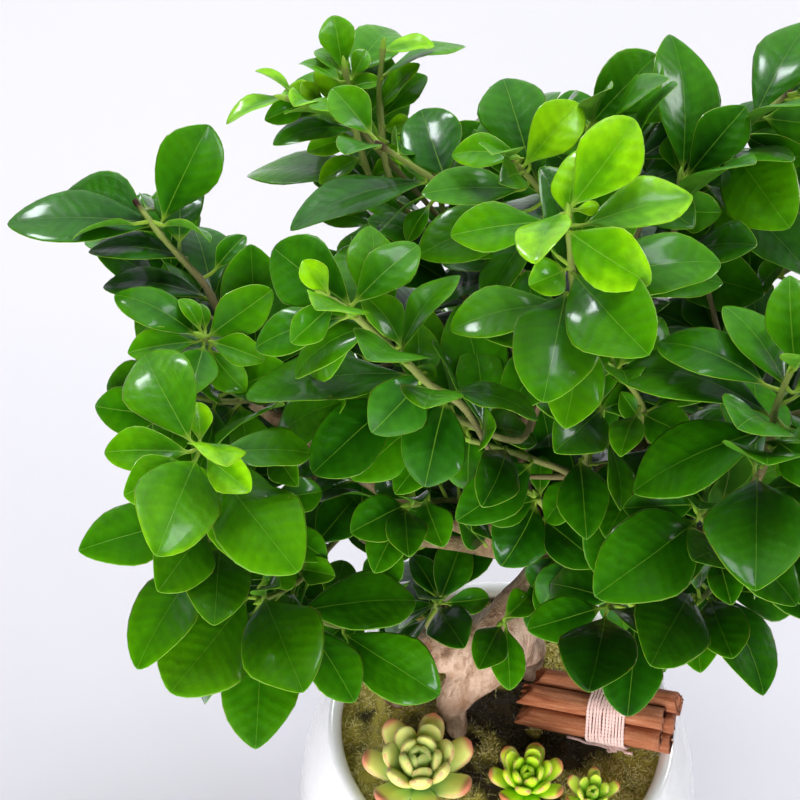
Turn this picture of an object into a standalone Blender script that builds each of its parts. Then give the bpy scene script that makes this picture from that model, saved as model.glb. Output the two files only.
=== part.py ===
"""Ficus ginseng bonsai in a round white pot, with moss, three succulents and a tied bundle of cinnamon.

The plant is one piece of wood, with fat roots, a trunk and thin limbs, and leafy stems that grow from the
limbs. Sizes are in millimetres and are turned into Blender's metres where a mesh is made. The origin is the
middle of the pot's foot, +Z is up and the front of the plant faces -Y.
"""
import math
import random

import bmesh
import bpy
from mathutils import Matrix, Vector, noise
from mathutils.bvhtree import BVHTree

MM = 0.001
GAP = 0.3

# Pot, turned in one piece: a round bowl that closes in a little towards the rim
POT_HEIGHT = 150.0
POT_BELLY_RADIUS = 100.0
POT_BELLY_HEIGHT = 80.0
POT_FOOT_RADIUS = 56.0
POT_WALL = 7.5
POT_FLOOR = 9.0
# The upper part of the bowl's side is an ellipse's arc with these half sizes
SHOULDER_REACH = 35.0
SHOULDER_RISE = 80.0
ROUND_STEPS = 28
# Heights of the profile's points on the inside of the bowl, up to where the rim rolls over
INSIDE_HEIGHTS = (22, 48, 80, 110, 134, 146)

# Soil, and the moss mat that covers it
SOIL_TOP = 131.0
MOSS_TOP = 137.5
MOSS_RINGS = 5
MOSS_BUMP = 2.4
MOSS_BUMP_SPACING = 12.0

# What stands in the soil ends in a plain plug, in a hole that is a little wider
PLUG_FOOT = 118.0
PLUG_SIDES = 8

# Roots, as points in mm with a radius at each. The last three stand upright in the moss and soil
ROOTS = {
    "front": (((-4, 10, 192), 13), ((-10, 8, 182), 12), ((-19, 5, 171), 10), ((-24, 3, 160), 8),
              ((-22, 2, 149), 5.5), ((-21, 2, 142), 5), ((-21, 2, PLUG_FOOT), 5)),
    "left": (((-6, 13, 193), 14), ((-26, 15, 189), 12.5), ((-40, 18, 177), 10.5), ((-48, 19, 164), 8),
             ((-51, 20, 150), 6.5), ((-51, 20, 143), 6), ((-51, 20, PLUG_FOOT), 6)),
    "right": (((-2, 13, 192), 14), ((4, 21, 180), 12), ((12, 30, 166), 9.5), ((16, 37, 151), 7.5),
              ((16, 37, 142), 7), ((16, 37, PLUG_FOOT), 7)),
    "back": (((-5, 17, 192), 14), ((-14, 34, 178), 11), ((-22, 46, 161), 8.5), ((-24, 50, 150), 7),
             ((-24, 50, 142), 6.5), ((-24, 50, PLUG_FOOT), 6.5)),
}
TRUNK = (((-8, 11, 180), 13), ((-3, 13, 194), 16), ((6, 17, 212), 12.5), ((14, 22, 226), 10.5),
         ((21, 27, 241), 8))

# Succulents as (middle across, front, rosette radius, leaves in each ring from the outside in)
SUCCULENTS = {
    "succulent_large": (-40, -31, 29, (8, 5, 4)),
    "succulent_middle": (11, -34, 20, (7, 5, 3)),
    "succulent_small": (41, -41, 14.5, (6, 4)),
}
SUCCULENT_STEM_RADIUS = 3.0
SUCCULENT_TURN = 0.37

# Cinnamon: rolled bark, one stick with six round it, laid on the moss at one end and on the rim at the other
STICK_RADIUS = 5.2
STICK_BARK = 1.3
STICK_LENGTH = 70.0
STICK_SPACING = 2 * STICK_RADIUS + GAP
STICK_SIDES = 11
BUNDLE_LEFT = Vector((12, 13, 150.9))
BUNDLE_RIGHT = Vector((81, -11, 163.8))

# Twine: turns laid side by side round the middle of the bundle, with a knot and one loose end
TWINE_TURNS = 4
TWINE_WIDTH = 5.0
TWINE_PLACE = 0.60
# The wrap has twelve flat stretches, which come this much nearer to the sticks than a round one
WRAP_SLACK = 0.3

# Leaf: blades about 0.6 as wide as long, held on a short stalk
SLIMNESS = 0.60
BLADE_THICKNESS = 1.4
TEST_THICKNESS = 2.6
STALK_ROOT_RADIUS = 0.55
BLADE_BOW = 0.055
BLADE_FOLD = 0.13
LEVEL_RISE = math.radians(4)
GOLDEN_ANGLE = math.radians(137.5)
LEAF_ATTEMPTS = 14
INNER_LEAVES = 1
FULL_SHOOT = 6
TWIG_RADIUS = 1.6
TWIG_FOOT_RADIUS = 0.9
TWIG_TIP_RADIUS = 1.1

# Sight lines: the crown's front is placed by points seen in an 800 by 800 picture from this eye
EYE = Vector((-48.9, -456.2, 865.5))
LOOK_DOWN = math.radians(47)
AHEAD = Vector((0, math.cos(LOOK_DOWN), -math.sin(LOOK_DOWN)))
UPWARD = Vector((0, math.sin(LOOK_DOWN), math.cos(LOOK_DOWN)))
RIGHT = Vector((1, 0, 0))
FOCAL = 1725.0
PICTURE_CENTRE = 400.0
PICTURE_SIZE = 800.0

# Outline of the crown in the picture, and gaps in it as (across, down, radius). Leaves that were not measured
# stay inside the outline and out of the gaps.
CROWN_EDGE = (
    (30, 215), (100, 195), (160, 190), (165, 140), (212, 130), (215, 175), (200, 215), (248, 235), (262, 262),
    (300, 240), (345, 238), (370, 215), (300, 205), (262, 170), (300, 140), (262, 110), (290, 70), (325, 70),
    (320, 28), (345, 25), (360, 52), (400, 40), (420, 75), (440, 112), (485, 110), (500, 80), (545, 92),
    (590, 90), (650, 50), (690, 40), (712, 85), (745, 110), (770, 60), (800, 30), (800, 600), (765, 675),
    (700, 640), (655, 680), (630, 700), (600, 680), (590, 640), (530, 640), (520, 610), (478, 620), (430, 640),
    (400, 610), (425, 685), (350, 690), (330, 670), (295, 680), (262, 735), (240, 700), (175, 685), (140, 655),
    (150, 610), (200, 560), (100, 545), (130, 500), (110, 440), (100, 400), (130, 370), (125, 300), (110, 265),
    (60, 238),
)
CROWN_GAPS = ((340, 567, 22), (431, 550, 9), (503, 580, 24), (530, 560, 8), (512, 606, 9))

# Leafy stems seen from the front. Each has its stem as (across, down, height in mm) picture points from the
# limb to the tip, then its leaves as (stalk across, down, tip across, down, width) in picture points.
SEEN_SHOOTS = {
    "left_reach": (
        ((212, 298, 372), (185, 262, 384), (165, 240, 390), (138, 205, 398)),
        ((155, 225, 6, 229, 52), (150, 222, 62, 192, 45), (163, 220, 205, 122, 65), (185, 258, 88, 250, 30),
         (205, 298, 103, 282, 28), (213, 300, 195, 222, 60), (215, 270, 245, 235, 24), (160, 233, 125, 226, 14))),
    "left_upper": (
        ((262, 372, 345), (203, 337, 374)),
        ((195, 335, 117, 288, 40), (195, 342, 128, 350, 35), (210, 335, 272, 290, 45), (200, 330, 180, 298, 18),
         (205, 330, 200, 303, 14), (212, 342, 265, 360, 30), (210, 350, 245, 392, 35), (203, 348, 190, 398, 40))),
    "left_rosette": (
        ((262, 452, 325), (228, 452, 348), (200, 446, 372)),
        ((190, 440, 137, 346, 75), (200, 440, 200, 402, 25), (213, 450, 281, 403, 22), (208, 458, 250, 490, 38),
         (215, 455, 311, 452, 38), (188, 452, 103, 455, 44), (195, 462, 150, 553, 80), (225, 480, 287, 563, 85),
         (190, 465, 122, 492, 50))),
    "left_behind": (
        ((250, 400, 330), (185, 395, 350)),
        ((170, 415, 92, 410, 45), (180, 385, 106, 385, 50), (240, 405, 250, 455, 45))),
    "left_low": (
        ((285, 520, 290), (240, 535, 305), (205, 540, 318)),
        ((190, 520, 80, 548, 60), (205, 530, 155, 588, 60), (220, 550, 210, 623, 65), (205, 560, 133, 665, 60),
         (270, 500, 322, 490, 35), (285, 530, 325, 560, 35))),
    "left_lowest": (
        ((345, 532, 268), (300, 580, 280), (262, 600, 290)),
        ((245, 600, 172, 694, 85), (265, 600, 302, 686, 82), (262, 610, 258, 748, 75), (255, 612, 193, 700, 40),
         (260, 585, 293, 565, 36), (300, 570, 335, 575, 30), (315, 545, 357, 495, 45))),
    "low_middle": (
        ((392, 590, 246), (345, 625, 252), (305, 614, 264)),
        ((300, 612, 416, 597, 60), (345, 635, 437, 693, 65), (305, 622, 353, 703, 50), (330, 605, 345, 560, 35))),
    "front_tip": (
        ((466, 410, 372), (430, 385, 386), (400, 356, 398), (350, 312, 416), (326, 297, 424)),
        ((328, 292, 303, 260, 28), (333, 305, 290, 340, 35), (350, 305, 270, 250, 70), (355, 302, 420, 245, 45),
         (375, 325, 290, 370, 36), (345, 318, 255, 350, 40), (402, 350, 455, 272, 30), (425, 375, 370, 432, 60),
         (445, 400, 423, 487, 65), (415, 368, 437, 378, 14), (400, 345, 365, 290, 40))),
    "front_under": (
        ((520, 440, 345), (470, 425, 350), (420, 395, 358)),
        ((405, 375, 245, 395, 50), (400, 395, 310, 470, 65), (430, 412, 352, 480, 55), (455, 435, 395, 492, 40))),
    "front_deep": (
        ((570, 475, 322), (520, 455, 335), (470, 440, 345)),
        ((470, 435, 465, 490, 45), (505, 450, 480, 515, 60), (530, 465, 460, 525, 50), (468, 428, 540, 438, 36))),
    "top_rosette": (
        ((580, 345, 392), (572, 275, 425), (568, 214, 455)),
        ((572, 205, 640, 122, 65), (545, 222, 452, 235, 48), (560, 215, 535, 255, 40), (575, 210, 600, 207, 15),
         (585, 225, 693, 195, 50), (570, 232, 645, 288, 60), (575, 275, 640, 357, 85), (565, 295, 545, 398, 83),
         (565, 270, 530, 287, 40), (560, 305, 452, 325, 45), (590, 280, 722, 260, 60), (585, 340, 560, 427, 60))),
    "top_front": (
        ((572, 240, 402), (540, 190, 425), (509, 158, 440)),
        ((525, 165, 578, 100, 50), (520, 190, 422, 195, 38), (530, 165, 505, 75, 68), (520, 158, 452, 150, 33),
         (545, 215, 490, 304, 35), (530, 210, 420, 255, 55))),
    "top_left": (
        ((470, 215, 398), (445, 188, 412), (381, 146, 432)),
        ((445, 178, 420, 108, 62), (425, 183, 290, 222, 30), (430, 205, 407, 240, 22), (450, 215, 500, 250, 50))),
    "top_right": (
        ((640, 225, 398), (605, 165, 420), (588, 132, 432)),
        ((590, 125, 655, 50, 60), (600, 150, 545, 120, 45), (630, 195, 690, 230, 45))),
    "top_high": (
        ((672, 240, 392), (680, 180, 415)),
        ((682, 168, 680, 30, 65), (688, 175, 745, 105, 50), (678, 172, 668, 135, 25), (675, 210, 720, 215, 40))),
    "right_top": (
        ((690, 205, 385), (705, 165, 402), (735, 135, 415), (787, 95, 430)),
        ((755, 118, 815, 15, 60), (730, 148, 790, 226, 75), (705, 185, 810, 275, 50), (745, 135, 812, 165, 40),
         (765, 118, 832, 128, 45))),
    "right_mid": (
        ((757, 480, 372), (770, 440, 388), (775, 410, 402), (790, 372, 416)),
        ((765, 385, 657, 340, 45), (768, 415, 618, 355, 60), (768, 430, 630, 490, 70), (757, 480, 757, 590, 95),
         (785, 385, 727, 303, 40), (795, 365, 785, 275, 50), (795, 392, 862, 345, 42), (775, 440, 835, 480, 50))),
    "right_front": (
        ((735, 560, 318), (722, 545, 324), (700, 515, 335)),
        ((695, 522, 605, 595, 85), (695, 505, 625, 505, 45), (705, 505, 650, 440, 45), (715, 530, 800, 600, 45))),
    "right_low": (
        ((700, 560, 272), (712, 585, 284), (700, 600, 292)),
        ((690, 595, 645, 660, 75), (710, 600, 728, 657, 55), (715, 592, 768, 692, 50), (695, 610, 700, 672, 40))),
    "right_lowest": (
        ((655, 570, 262), (630, 598, 270), (608, 606, 278)),
        ((605, 618, 595, 692, 75), (635, 620, 632, 716, 57), (615, 600, 547, 578, 50), (600, 608, 528, 630, 45))),
    "middle": (
        ((600, 500, 305), (585, 460, 330), (600, 420, 350)),
        ((580, 462, 588, 534, 50), (590, 480, 545, 522, 45), (598, 412, 556, 454, 60), (600, 410, 640, 395, 40),
         (608, 440, 620, 510, 25))),
    "middle_up": (
        ((650, 440, 335), (640, 400, 362), (615, 370, 380)),
        ((612, 372, 520, 375, 45), (620, 365, 660, 315, 45), (640, 420, 622, 392, 25), (645, 415, 690, 440, 45))),
    "middle_low": (
        ((560, 560, 270), (550, 520, 288), (538, 498, 300)),
        ((535, 505, 505, 568, 60), (545, 520, 595, 560, 50), (540, 495, 540, 455, 24), (535, 500, 480, 510, 40))),
    "sprout_left": (
        ((428, 626, 206), (438, 603, 220)),
        ((440, 600, 465, 538, 40), (437, 597, 410, 555, 26), (445, 603, 490, 600, 26), (440, 610, 462, 649, 45),
         (435, 605, 395, 625, 22))),
    "sprout_right": (
        ((516, 614, 222), (503, 622, 226)),
        ((500, 626, 478, 668, 38), (506, 628, 512, 690, 34), (505, 618, 530, 595, 30))),
    "front_low": (
        ((452, 500, 290), (410, 505, 300)),
        ((405, 510, 405, 555, 40), (405, 505, 350, 530, 45), (425, 500, 440, 548, 38), (415, 498, 380, 470, 40))),
    "back_tip": (
        ((388, 238, 362), (358, 140, 395), (345, 68, 424)),
        ((343, 72, 335, 15, 35), (341, 74, 318, 46, 22), (352, 78, 367, 50, 20), (340, 82, 300, 62, 18),
         (350, 88, 383, 82, 16), (350, 78, 398, 25, 20), (352, 130, 274, 142, 26), (355, 138, 307, 152, 26),
         (360, 158, 320, 184, 22), (366, 182, 250, 173, 35), (380, 225, 315, 213, 30), (370, 180, 398, 160, 24))),
    "back_side": (
        ((358, 128, 398), (325, 108, 408), (285, 98, 416)),
        ((285, 98, 226, 123, 14), (292, 93, 255, 70, 10), (305, 102, 265, 120, 26), (325, 105, 300, 84, 18))),
    "back_top": (
        ((402, 205, 375), (380, 110, 405), (383, 48, 434)),
        ((384, 52, 435, 45, 16), (385, 75, 463, 42, 12), (382, 118, 428, 75, 28), (378, 110, 418, 62, 20),
         (382, 130, 412, 122, 20), (385, 150, 425, 150, 30))),
}

# Leafy stems at the back, the right side and under the crown, as (start, tip) in mm, with their leaf count
RULED_SHOOTS = {
    "right_far": ((108, 28, 335), (158, 22, 378), 5),
    "right_far_front": ((104, -18, 322), (150, -52, 352), 5),
    "right_far_low": ((92, 20, 288), (148, 12, 305), 5),
    "right_far_back": ((100, 84, 348), (150, 108, 384), 5),
    "back_right": ((62, 108, 352), (82, 156, 392), 5),
    "back_middle": ((10, 108, 345), (12, 162, 382), 5),
    "back_high": ((30, 60, 370), (44, 104, 410), 5),
    "back_left": ((-70, 100, 308), (-112, 136, 326), 5),
    "left_back": ((-112, 84, 322), (-162, 104, 350), 5),
    "back_low": ((8, 92, 290), (18, 148, 306), 5),
    "back_left_low": ((-52, 76, 284), (-98, 112, 300), 5),
    "back_right_low": ((68, 70, 284), (116, 102, 302), 5),
    "crown_back": ((-20, 84, 350), (-34, 128, 385), 5),
}


def sight(across, down):
    """Direction from the eye through a picture point."""
    ray = AHEAD + RIGHT * (across - PICTURE_CENTRE) / FOCAL - UPWARD * (down - PICTURE_CENTRE) / FOCAL
    return ray.normalized()


def seen_at(across, down, height):
    """Point at a height on the sight line of a picture point."""
    ray = sight(across, down)
    return EYE + ray * ((height - EYE.z) / ray.z)


def picture_of(point):
    """Picture place of a point."""
    offset = point - EYE
    depth = offset.dot(AHEAD)
    across = PICTURE_CENTRE + FOCAL * offset.dot(RIGHT) / depth
    return across, PICTURE_CENTRE - FOCAL * offset.dot(UPWARD) / depth


def smooth_path(points, steps):
    """Points along a smooth curve through the given ones, with the given steps in each stretch."""
    ends = [points[0] * 2 - points[1], *points, points[-1] * 2 - points[-2]]
    path = []
    for first, second, third, fourth in zip(ends, ends[1:], ends[2:], ends[3:]):
        for step in range(steps):
            t = step / steps
            path.append(0.5 * (second * 2 + (third - first) * t
                               + (first * 2 - second * 5 + third * 4 - fourth) * t * t
                               + (second * 3 - first - third * 3 + fourth) * t ** 3))
    path.append(points[-1])
    return path


# Limbs from the fork at the top of the trunk, as points in mm with the radius at the start and the end
FORK = Vector((20, 26, 238))
LIMBS = {
    "left": ((-48, 30, 280), (-88, 36, 312), (-112, 42, 330)),
    "left_front": ((-32, 24, 258), (-62, 12, 268)),
    "front": ((-14, 18, 280), (-6, 6, 325)),
    "top": ((2, 34, 300), (14, 36, 360), (20, 34, 392)),
    "right_front": ((18, 20, 262), (55, 4, 285), (78, -14, 312)),
    "right": ((26, 32, 276), (70, 40, 318), (100, 40, 334)),
    "back_right": ((20, 52, 285), (55, 84, 340)),
    "back": ((-4, 60, 290), (4, 96, 338)),
    "back_left": ((-32, 56, 290), (-52, 92, 335)),
}
LIMB_RADIUS = 5.2
LIMB_END_RADIUS = 2.6
LIMB_STEPS = 2
LIMB_SINK = 2.0
WOOD_SIDES = 12
SEAT_SPACING = 5.0
STEEPEST_SLANT = 0.45
SEATS_TRIED = 24
SEAT_SPARE = 0.2
SEAT_STEP = 0.1
SEAT_STEPS = 150
STEM_SIDES = 6
STEM_ROOM = 1.1
STEM_SINKS = (0, 4, -4, 8, -8, 12, -12, 16, 20)


def limb_paths():
    """Each limb as a list of (point, radius) from the fork to its end."""
    paths = []
    for bends in LIMBS.values():
        bends = [Vector(bend) for bend in bends]
        # Each limb starts in the trunk, on the far side from where it goes
        root = Vector(TRUNK[-2][0]) - (bends[0] - FORK).normalized() * LIMB_SINK
        points = smooth_path([root, FORK, *bends], LIMB_STEPS)
        last = len(points) - 1
        paths.append([(point, LIMB_RADIUS + (LIMB_END_RADIUS - LIMB_RADIUS) * i / last)
                      for i, point in enumerate(points)])
    return paths


def seats_on(limb, goal, ends_free):
    """Places on a limb where a stem that heads for the goal may start, as (cost, start, heading)."""
    seats = []
    for (start, start_radius), (end, end_radius) in zip(limb, limb[1:]):
        along = (end - start).normalized()
        count = max(2, round((end - start).length / SEAT_SPACING))
        for i in range(count):
            share = (i + 0.5) / count
            middle = start.lerp(end, share)
            radius = start_radius + (end_radius - start_radius) * share
            heading = (goal - middle).normalized()
            slant = heading.cross(along).length
            if slant < STEEPEST_SLANT:
                continue
            clear = (radius + GAP + TWIG_FOOT_RADIUS * abs(heading.dot(along))) / slant
            if (goal - middle).length > clear + 2:
                backward = max(0, -heading.dot(along))
                seats.append(((goal - middle).length * (1 + backward), middle + heading * clear, heading))
    if ends_free:
        tip = limb[-1][0]
        along = (tip - limb[-2][0]).normalized()
        if (goal - tip).normalized().dot(along) > 0.6:
            seats.append(((goal - tip).length * 0.8, tip + along * GAP, along))
    return seats


def shoot_path(points, limbs, stocks, crown):
    """Stem of a leafy shoot through its own points, from the nearest seat that keeps it clear of the rest."""
    for sink in STEM_SINKS:
        sunk = [point + (point - EYE).normalized() * sink for point in points]
        seats = [seat for limb in limbs for seat in seats_on(limb, sunk[0], True)]
        seats += [seat for stock in stocks for seat in seats_on(stock, sunk[0], False)]
        for _, start, heading in sorted(seats, key=lambda seat: seat[0])[:SEATS_TRIED]:
            path = [start, *sunk]
            if not crown.met_by_stem(path):
                stem = settled(path, heading, crown)
                if stem:
                    return stem
    raise ValueError("no seat is clear")


def settled(path, heading, crown):
    """The stem with its foot moved back to a gap from the wood, or none where another stem is in the way."""
    for step in range(SEAT_STEPS):
        reach = [path[0] - heading * (SEAT_STEP + GAP), *path[1:]]
        met = crown.met_by_stem(reach)
        if met:
            return path if "wood" in met else None
        path = [path[0] - heading * SEAT_STEP, *path[1:]]
    return None


def stem_radii(path, spare=0.0):
    """Radius at each point of a stem: a narrow foot on the limb, then a slow taper to the tip."""
    last = len(path) - 1
    taper = TWIG_TIP_RADIUS - TWIG_RADIUS
    return [TWIG_FOOT_RADIUS] + [TWIG_RADIUS + taper * i / last + spare for i in range(1, last + 1)]


def nearest_on(path, goal, measure):
    """Point of a path that measures nearest to the goal."""
    best = None
    for start, end in zip(path, path[1:]):
        for step in range(7):
            point = start.lerp(end, step / 6)
            far = measure(point, goal)
            if best is None or far < best[0]:
                best = (far, point)
    return best[1]


def picture_distance(point, goal):
    across, down = picture_of(point)
    return math.hypot(across - goal[0], down - goal[1])


class Leaf:
    """One leaf: a stalk from its root on the stem, and a blade from its base to its tip."""

    def __init__(self, root, base, tip, normal, width):
        self.root = root
        self.base = base
        self.tip = tip
        self.length = (tip - base).length
        self.axis = (tip - base) / self.length
        self.normal = (normal - self.axis * normal.dot(self.axis)).normalized()
        self.side = self.axis.cross(self.normal)
        self.width = width

    def outline(self, t):
        """Half width of the blade at t along it: a wedge at the base, widest past the middle, a blunt tip."""
        return self.width / 2 * t ** 0.8 * (1 - t) ** 0.62 / 0.378

    def point(self, t, s, lift=0.0):
        """Point of the blade at t along it and s across it, raised from its surface by lift."""
        half = self.outline(t)
        rise = BLADE_BOW * self.length * 4 * t * (1 - t) + BLADE_FOLD * abs(s) * half
        return self.base + self.axis * (t * self.length) + self.side * (s * half) + self.normal * (rise + lift)


BLADE_ROWS = (0.30, 0.74)


def leaf_shape(leaf, thickness, whole=True):
    """Corners and triangles of a closed leaf: lens-shaped across, with a diamond stalk."""
    lift = thickness / 2
    start = leaf.root if whole else leaf.base
    along = (leaf.point(BLADE_ROWS[0], 0) - start).normalized()
    normal = (leaf.normal - along * leaf.normal.dot(along)).normalized() * STALK_ROOT_RADIUS
    side = along.cross(normal)
    corners = [start + side, start + normal, start - side, start - normal]
    for t in BLADE_ROWS:
        corners += [leaf.point(t, 1), leaf.point(t, 0, lift), leaf.point(t, -1), leaf.point(t, 0, -lift)]
    corners.append(leaf.tip)
    faces = [(0, 1, 2), (0, 2, 3)]
    row_count = len(corners) // 4
    for row in range(row_count - 1):
        a = row * 4
        b = a + 4
        # Both faces of the blade split the same way: from the edge near the base to the rib further on
        faces += [(a, b, b + 1), (a, b + 1, a + 1), (a + 1, b + 1, b + 2), (a + 1, b + 2, a + 2),
                  (a + 2, b + 2, b + 3), (a + 2, b + 3, a + 3), (a + 3, b + 3, b), (a + 3, b, a)]
    a = row_count * 4 - 4
    tip = len(corners) - 1
    faces += [(a, tip, a + 1), (a + 1, tip, a + 2), (a + 2, tip, a + 3), (a + 3, tip, a)]
    return corners, faces


def seen_leaf(path, record, lean=0.0, roll=0.0, sink=0.0, shrink=1.0):
    """Leaf from its picture points. Its blade is as long as it shows, or as its width asks for if longer."""
    base_across, base_down, tip_across, tip_down, span = record
    root = nearest_on(path, (base_across, base_down), picture_distance)
    base_ray = sight(base_across, base_down)
    base = EYE + base_ray * ((root - EYE).dot(base_ray) + sink)
    tip_ray = sight(tip_across, tip_down)
    level_tip = EYE + tip_ray * (base - EYE).dot(tip_ray)
    shown = (level_tip - base).length
    shown_width = span * (base - EYE).dot(AHEAD) / FOCAL
    length = max(shown * 1.02, shown_width / SLIMNESS)
    reach = math.sqrt(max(length ** 2 - shown ** 2, 0))
    tips = [level_tip + tip_ray * reach, level_tip - tip_ray * reach]
    tip = min(tips, key=lambda end: abs(math.asin((end - base).z / (end - base).length) - LEVEL_RISE))
    tip = tip + tip_ray * lean
    tip = base + (tip - base) * shrink
    axis = (tip - base).normalized()
    width = max(shown_width, (tip - base).length * SLIMNESS * 0.9) * shrink
    facing = -base_ray
    facing = (facing - axis * facing.dot(axis)).normalized()
    turn = math.acos(min(1, shown_width * shrink / width))
    normals = [Matrix.Rotation(side * turn + roll, 3, axis) @ facing for side in (1, -1)]
    normal = max(normals, key=lambda way: way.z)
    return Leaf(root, base, tip, normal, width)


def ruled_leaf(path, place, turn, length, rise, roll):
    """Leaf at a share of the way along a stem, turned round it, for stems that follow the rule."""
    spot = place * (len(path) - 1)
    i = min(int(spot), len(path) - 2)
    root = path[i].lerp(path[i + 1], spot - i)
    along = (path[i + 1] - path[i]).normalized()
    level = along.cross(Vector((0, 0, 1))).normalized()
    out = Matrix.Rotation(turn, 3, along) @ level
    axis = (out + along * 0.55 + Vector((0, 0, rise))).normalized()
    base = root + axis * 7
    up = Matrix.Rotation(roll, 3, axis) @ (Vector((0, 0, 1)) - axis * axis.z)
    return Leaf(root, base, base + axis * length, up, length * SLIMNESS)


class Crown:
    """Keeps what is already placed, so that a new leaf can be set clear of it."""

    def __init__(self):
        self.placed = []
        self.shown = []

    def add(self, owner, corners, faces):
        middle = sum(corners, Vector()) / len(corners)
        radius = max((corner - middle).length for corner in corners)
        self.placed.append((owner, middle, radius, BVHTree.FromPolygons(corners, faces)))

    def show(self, leaf):
        """Notes the points of a leaf that the picture shows, which no later leaf may cover."""
        for t, s in ((0.12, 0), (0.35, -0.7), (0.35, 0.7), (0.5, 0), (0.7, -0.6), (0.7, 0.6), (0.9, 0)):
            point = leaf.point(t, s)
            self.shown.append((point, picture_of(point)))

    def met_by_stem(self, path):
        """Owners of what a stem along a path meets."""
        stem = BVHTree.FromPolygons(*tube_shape(path, stem_radii(path, SEAT_SPARE), STEM_SIDES))
        return {owner for owner, _, _, tree in self.placed if stem.overlap(tree)}

    def clear(self, owner, leaf):
        """Whether a leaf, a little thicker than it is, meets nothing placed so far."""
        whole = leaf_shape(leaf, TEST_THICKNESS)
        blade = leaf_shape(leaf, TEST_THICKNESS, whole=False)
        middle = (leaf.root + leaf.tip) / 2
        radius = (leaf.tip - leaf.root).length / 2 + leaf.width / 3
        trees = {}
        for other, centre, reach, tree in self.placed:
            if (centre - middle).length > radius + reach:
                continue
            kind = other == owner
            if kind not in trees:
                trees[kind] = BVHTree.FromPolygons(*(blade if kind else whole))
            if trees[kind].overlap(tree):
                return False
        return True

    def behind(self, leaf):
        """Whether a leaf stays inside the crown's outline and covers no leaf that the picture shows."""
        marks = [picture_of(leaf.point(t, s))
                 for t, s in ((0.02, 0), (0.3, -1), (0.3, 1), (0.5, 0), (0.75, -1), (0.75, 1), (1, 0))]
        for mark in marks:
            if not in_crown(*mark):
                return False
        middle = marks[3]
        reach = max(math.dist(middle, mark) for mark in marks) + 4
        tree = None
        for point, place in self.shown:
            if math.dist(place, middle) > reach:
                continue
            if tree is None:
                tree = BVHTree.FromPolygons(*leaf_shape(leaf, BLADE_THICKNESS, whole=False))
            ray = point - EYE
            if tree.ray_cast(EYE, ray.normalized(), ray.length - 1)[0] is not None:
                return False
        return True


def in_crown(across, down):
    """Whether a picture point may hold a leaf that was not measured."""
    if not (0 < across < PICTURE_SIZE and 0 < down < PICTURE_SIZE):
        return True
    for middle_across, middle_down, radius in CROWN_GAPS:
        if math.hypot(across - middle_across, down - middle_down) < radius:
            return False
    inside = False
    for (x0, y0), (x1, y1) in zip(CROWN_EDGE, CROWN_EDGE[1:] + CROWN_EDGE[:1]):
        if (y0 > down) != (y1 > down) and across < x0 + (x1 - x0) * (down - y0) / (y1 - y0):
            inside = not inside
    return inside


def tube_shape(path, radii, sides):
    """Corners and faces of a plain tube, for telling what a leaf or a stem would meet."""
    corners = []
    first = (path[1] - path[0]).orthogonal()
    for i, point in enumerate(path):
        along = (path[min(i + 1, len(path) - 1)] - path[max(i - 1, 0)]).normalized()
        # Each ring takes its turn about the path from the one before, so that the tube has no twist
        first = (first - along * first.dot(along)).normalized()
        for side in range(sides):
            spoke = Matrix.Rotation(math.tau * side / sides, 3, along) @ first
            corners.append(point + spoke * radii[i])
    faces = [tuple(range(sides)), tuple(range(len(corners) - sides, len(corners)))]
    for row in range(len(path) - 1):
        for side in range(sides):
            a = row * sides + side
            b = row * sides + (side + 1) % sides
            faces.append((a, b, b + sides, a + sides))
    return corners, faces


# What is tried in turn to set a measured leaf clear: shrunk, moved along the sight line, rolled, tipped
TRIES = tuple((lean, roll, sink, shrink)
              for shrink in (1.0, 0.9, 0.8)
              for sink in (0.0, 5.0, -5.0, 10.0, -10.0, 16.0)
              for roll in (0.0, 0.3, -0.3, 0.6)
              for lean in (0.0, 8.0, -8.0, 16.0, -16.0, 26.0))


def grow_stems(crown):
    """Limbs and the stem path of every shoot, set into the crown as what leaves must clear."""
    limbs = limb_paths()
    stocks = [[(Vector(point), radius) for point, radius in stock[:4]] for stock in (TRUNK, *ROOTS.values())]
    for stock in limbs + stocks:
        # The flats of the sides, and not only their corners, hold the round stock
        radii = [radius / math.cos(math.pi / WOOD_SIDES) for _, radius in stock]
        crown.add("wood", *tube_shape([point for point, _ in stock], radii, WOOD_SIDES))
    paths = {}
    for name, (stem, _) in SEEN_SHOOTS.items():
        paths[name] = shoot_path([seen_at(*spot) for spot in stem], limbs, stocks, crown)
        crown.add(name, *tube_shape(paths[name], [TWIG_RADIUS + STEM_ROOM] * len(paths[name]), STEM_SIDES))
    for name, (start, tip, _) in RULED_SHOOTS.items():
        start, tip = Vector(start), Vector(tip)
        bend = start.lerp(tip, 0.5) - Vector((0, 0, 4))
        paths[name] = shoot_path([start, bend, tip], limbs, stocks, crown)
        crown.add(name, *tube_shape(paths[name], [TWIG_RADIUS + STEM_ROOM] * len(paths[name]), STEM_SIDES))
    return limbs, paths


def grow_seen_leaves(crown, paths, leaves):
    """The leaves that were measured, each in the first of the tries that is clear of the rest."""
    for name, (_, records) in SEEN_SHOOTS.items():
        for record in records:
            for lean, roll, sink, shrink in TRIES:
                leaf = seen_leaf(paths[name], record, lean, roll, sink, shrink)
                if crown.clear(name, leaf):
                    leaves[name].append(leaf)
                    crown.add(name, *leaf_shape(leaf, BLADE_THICKNESS))
                    crown.show(leaf)
                    break


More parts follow.
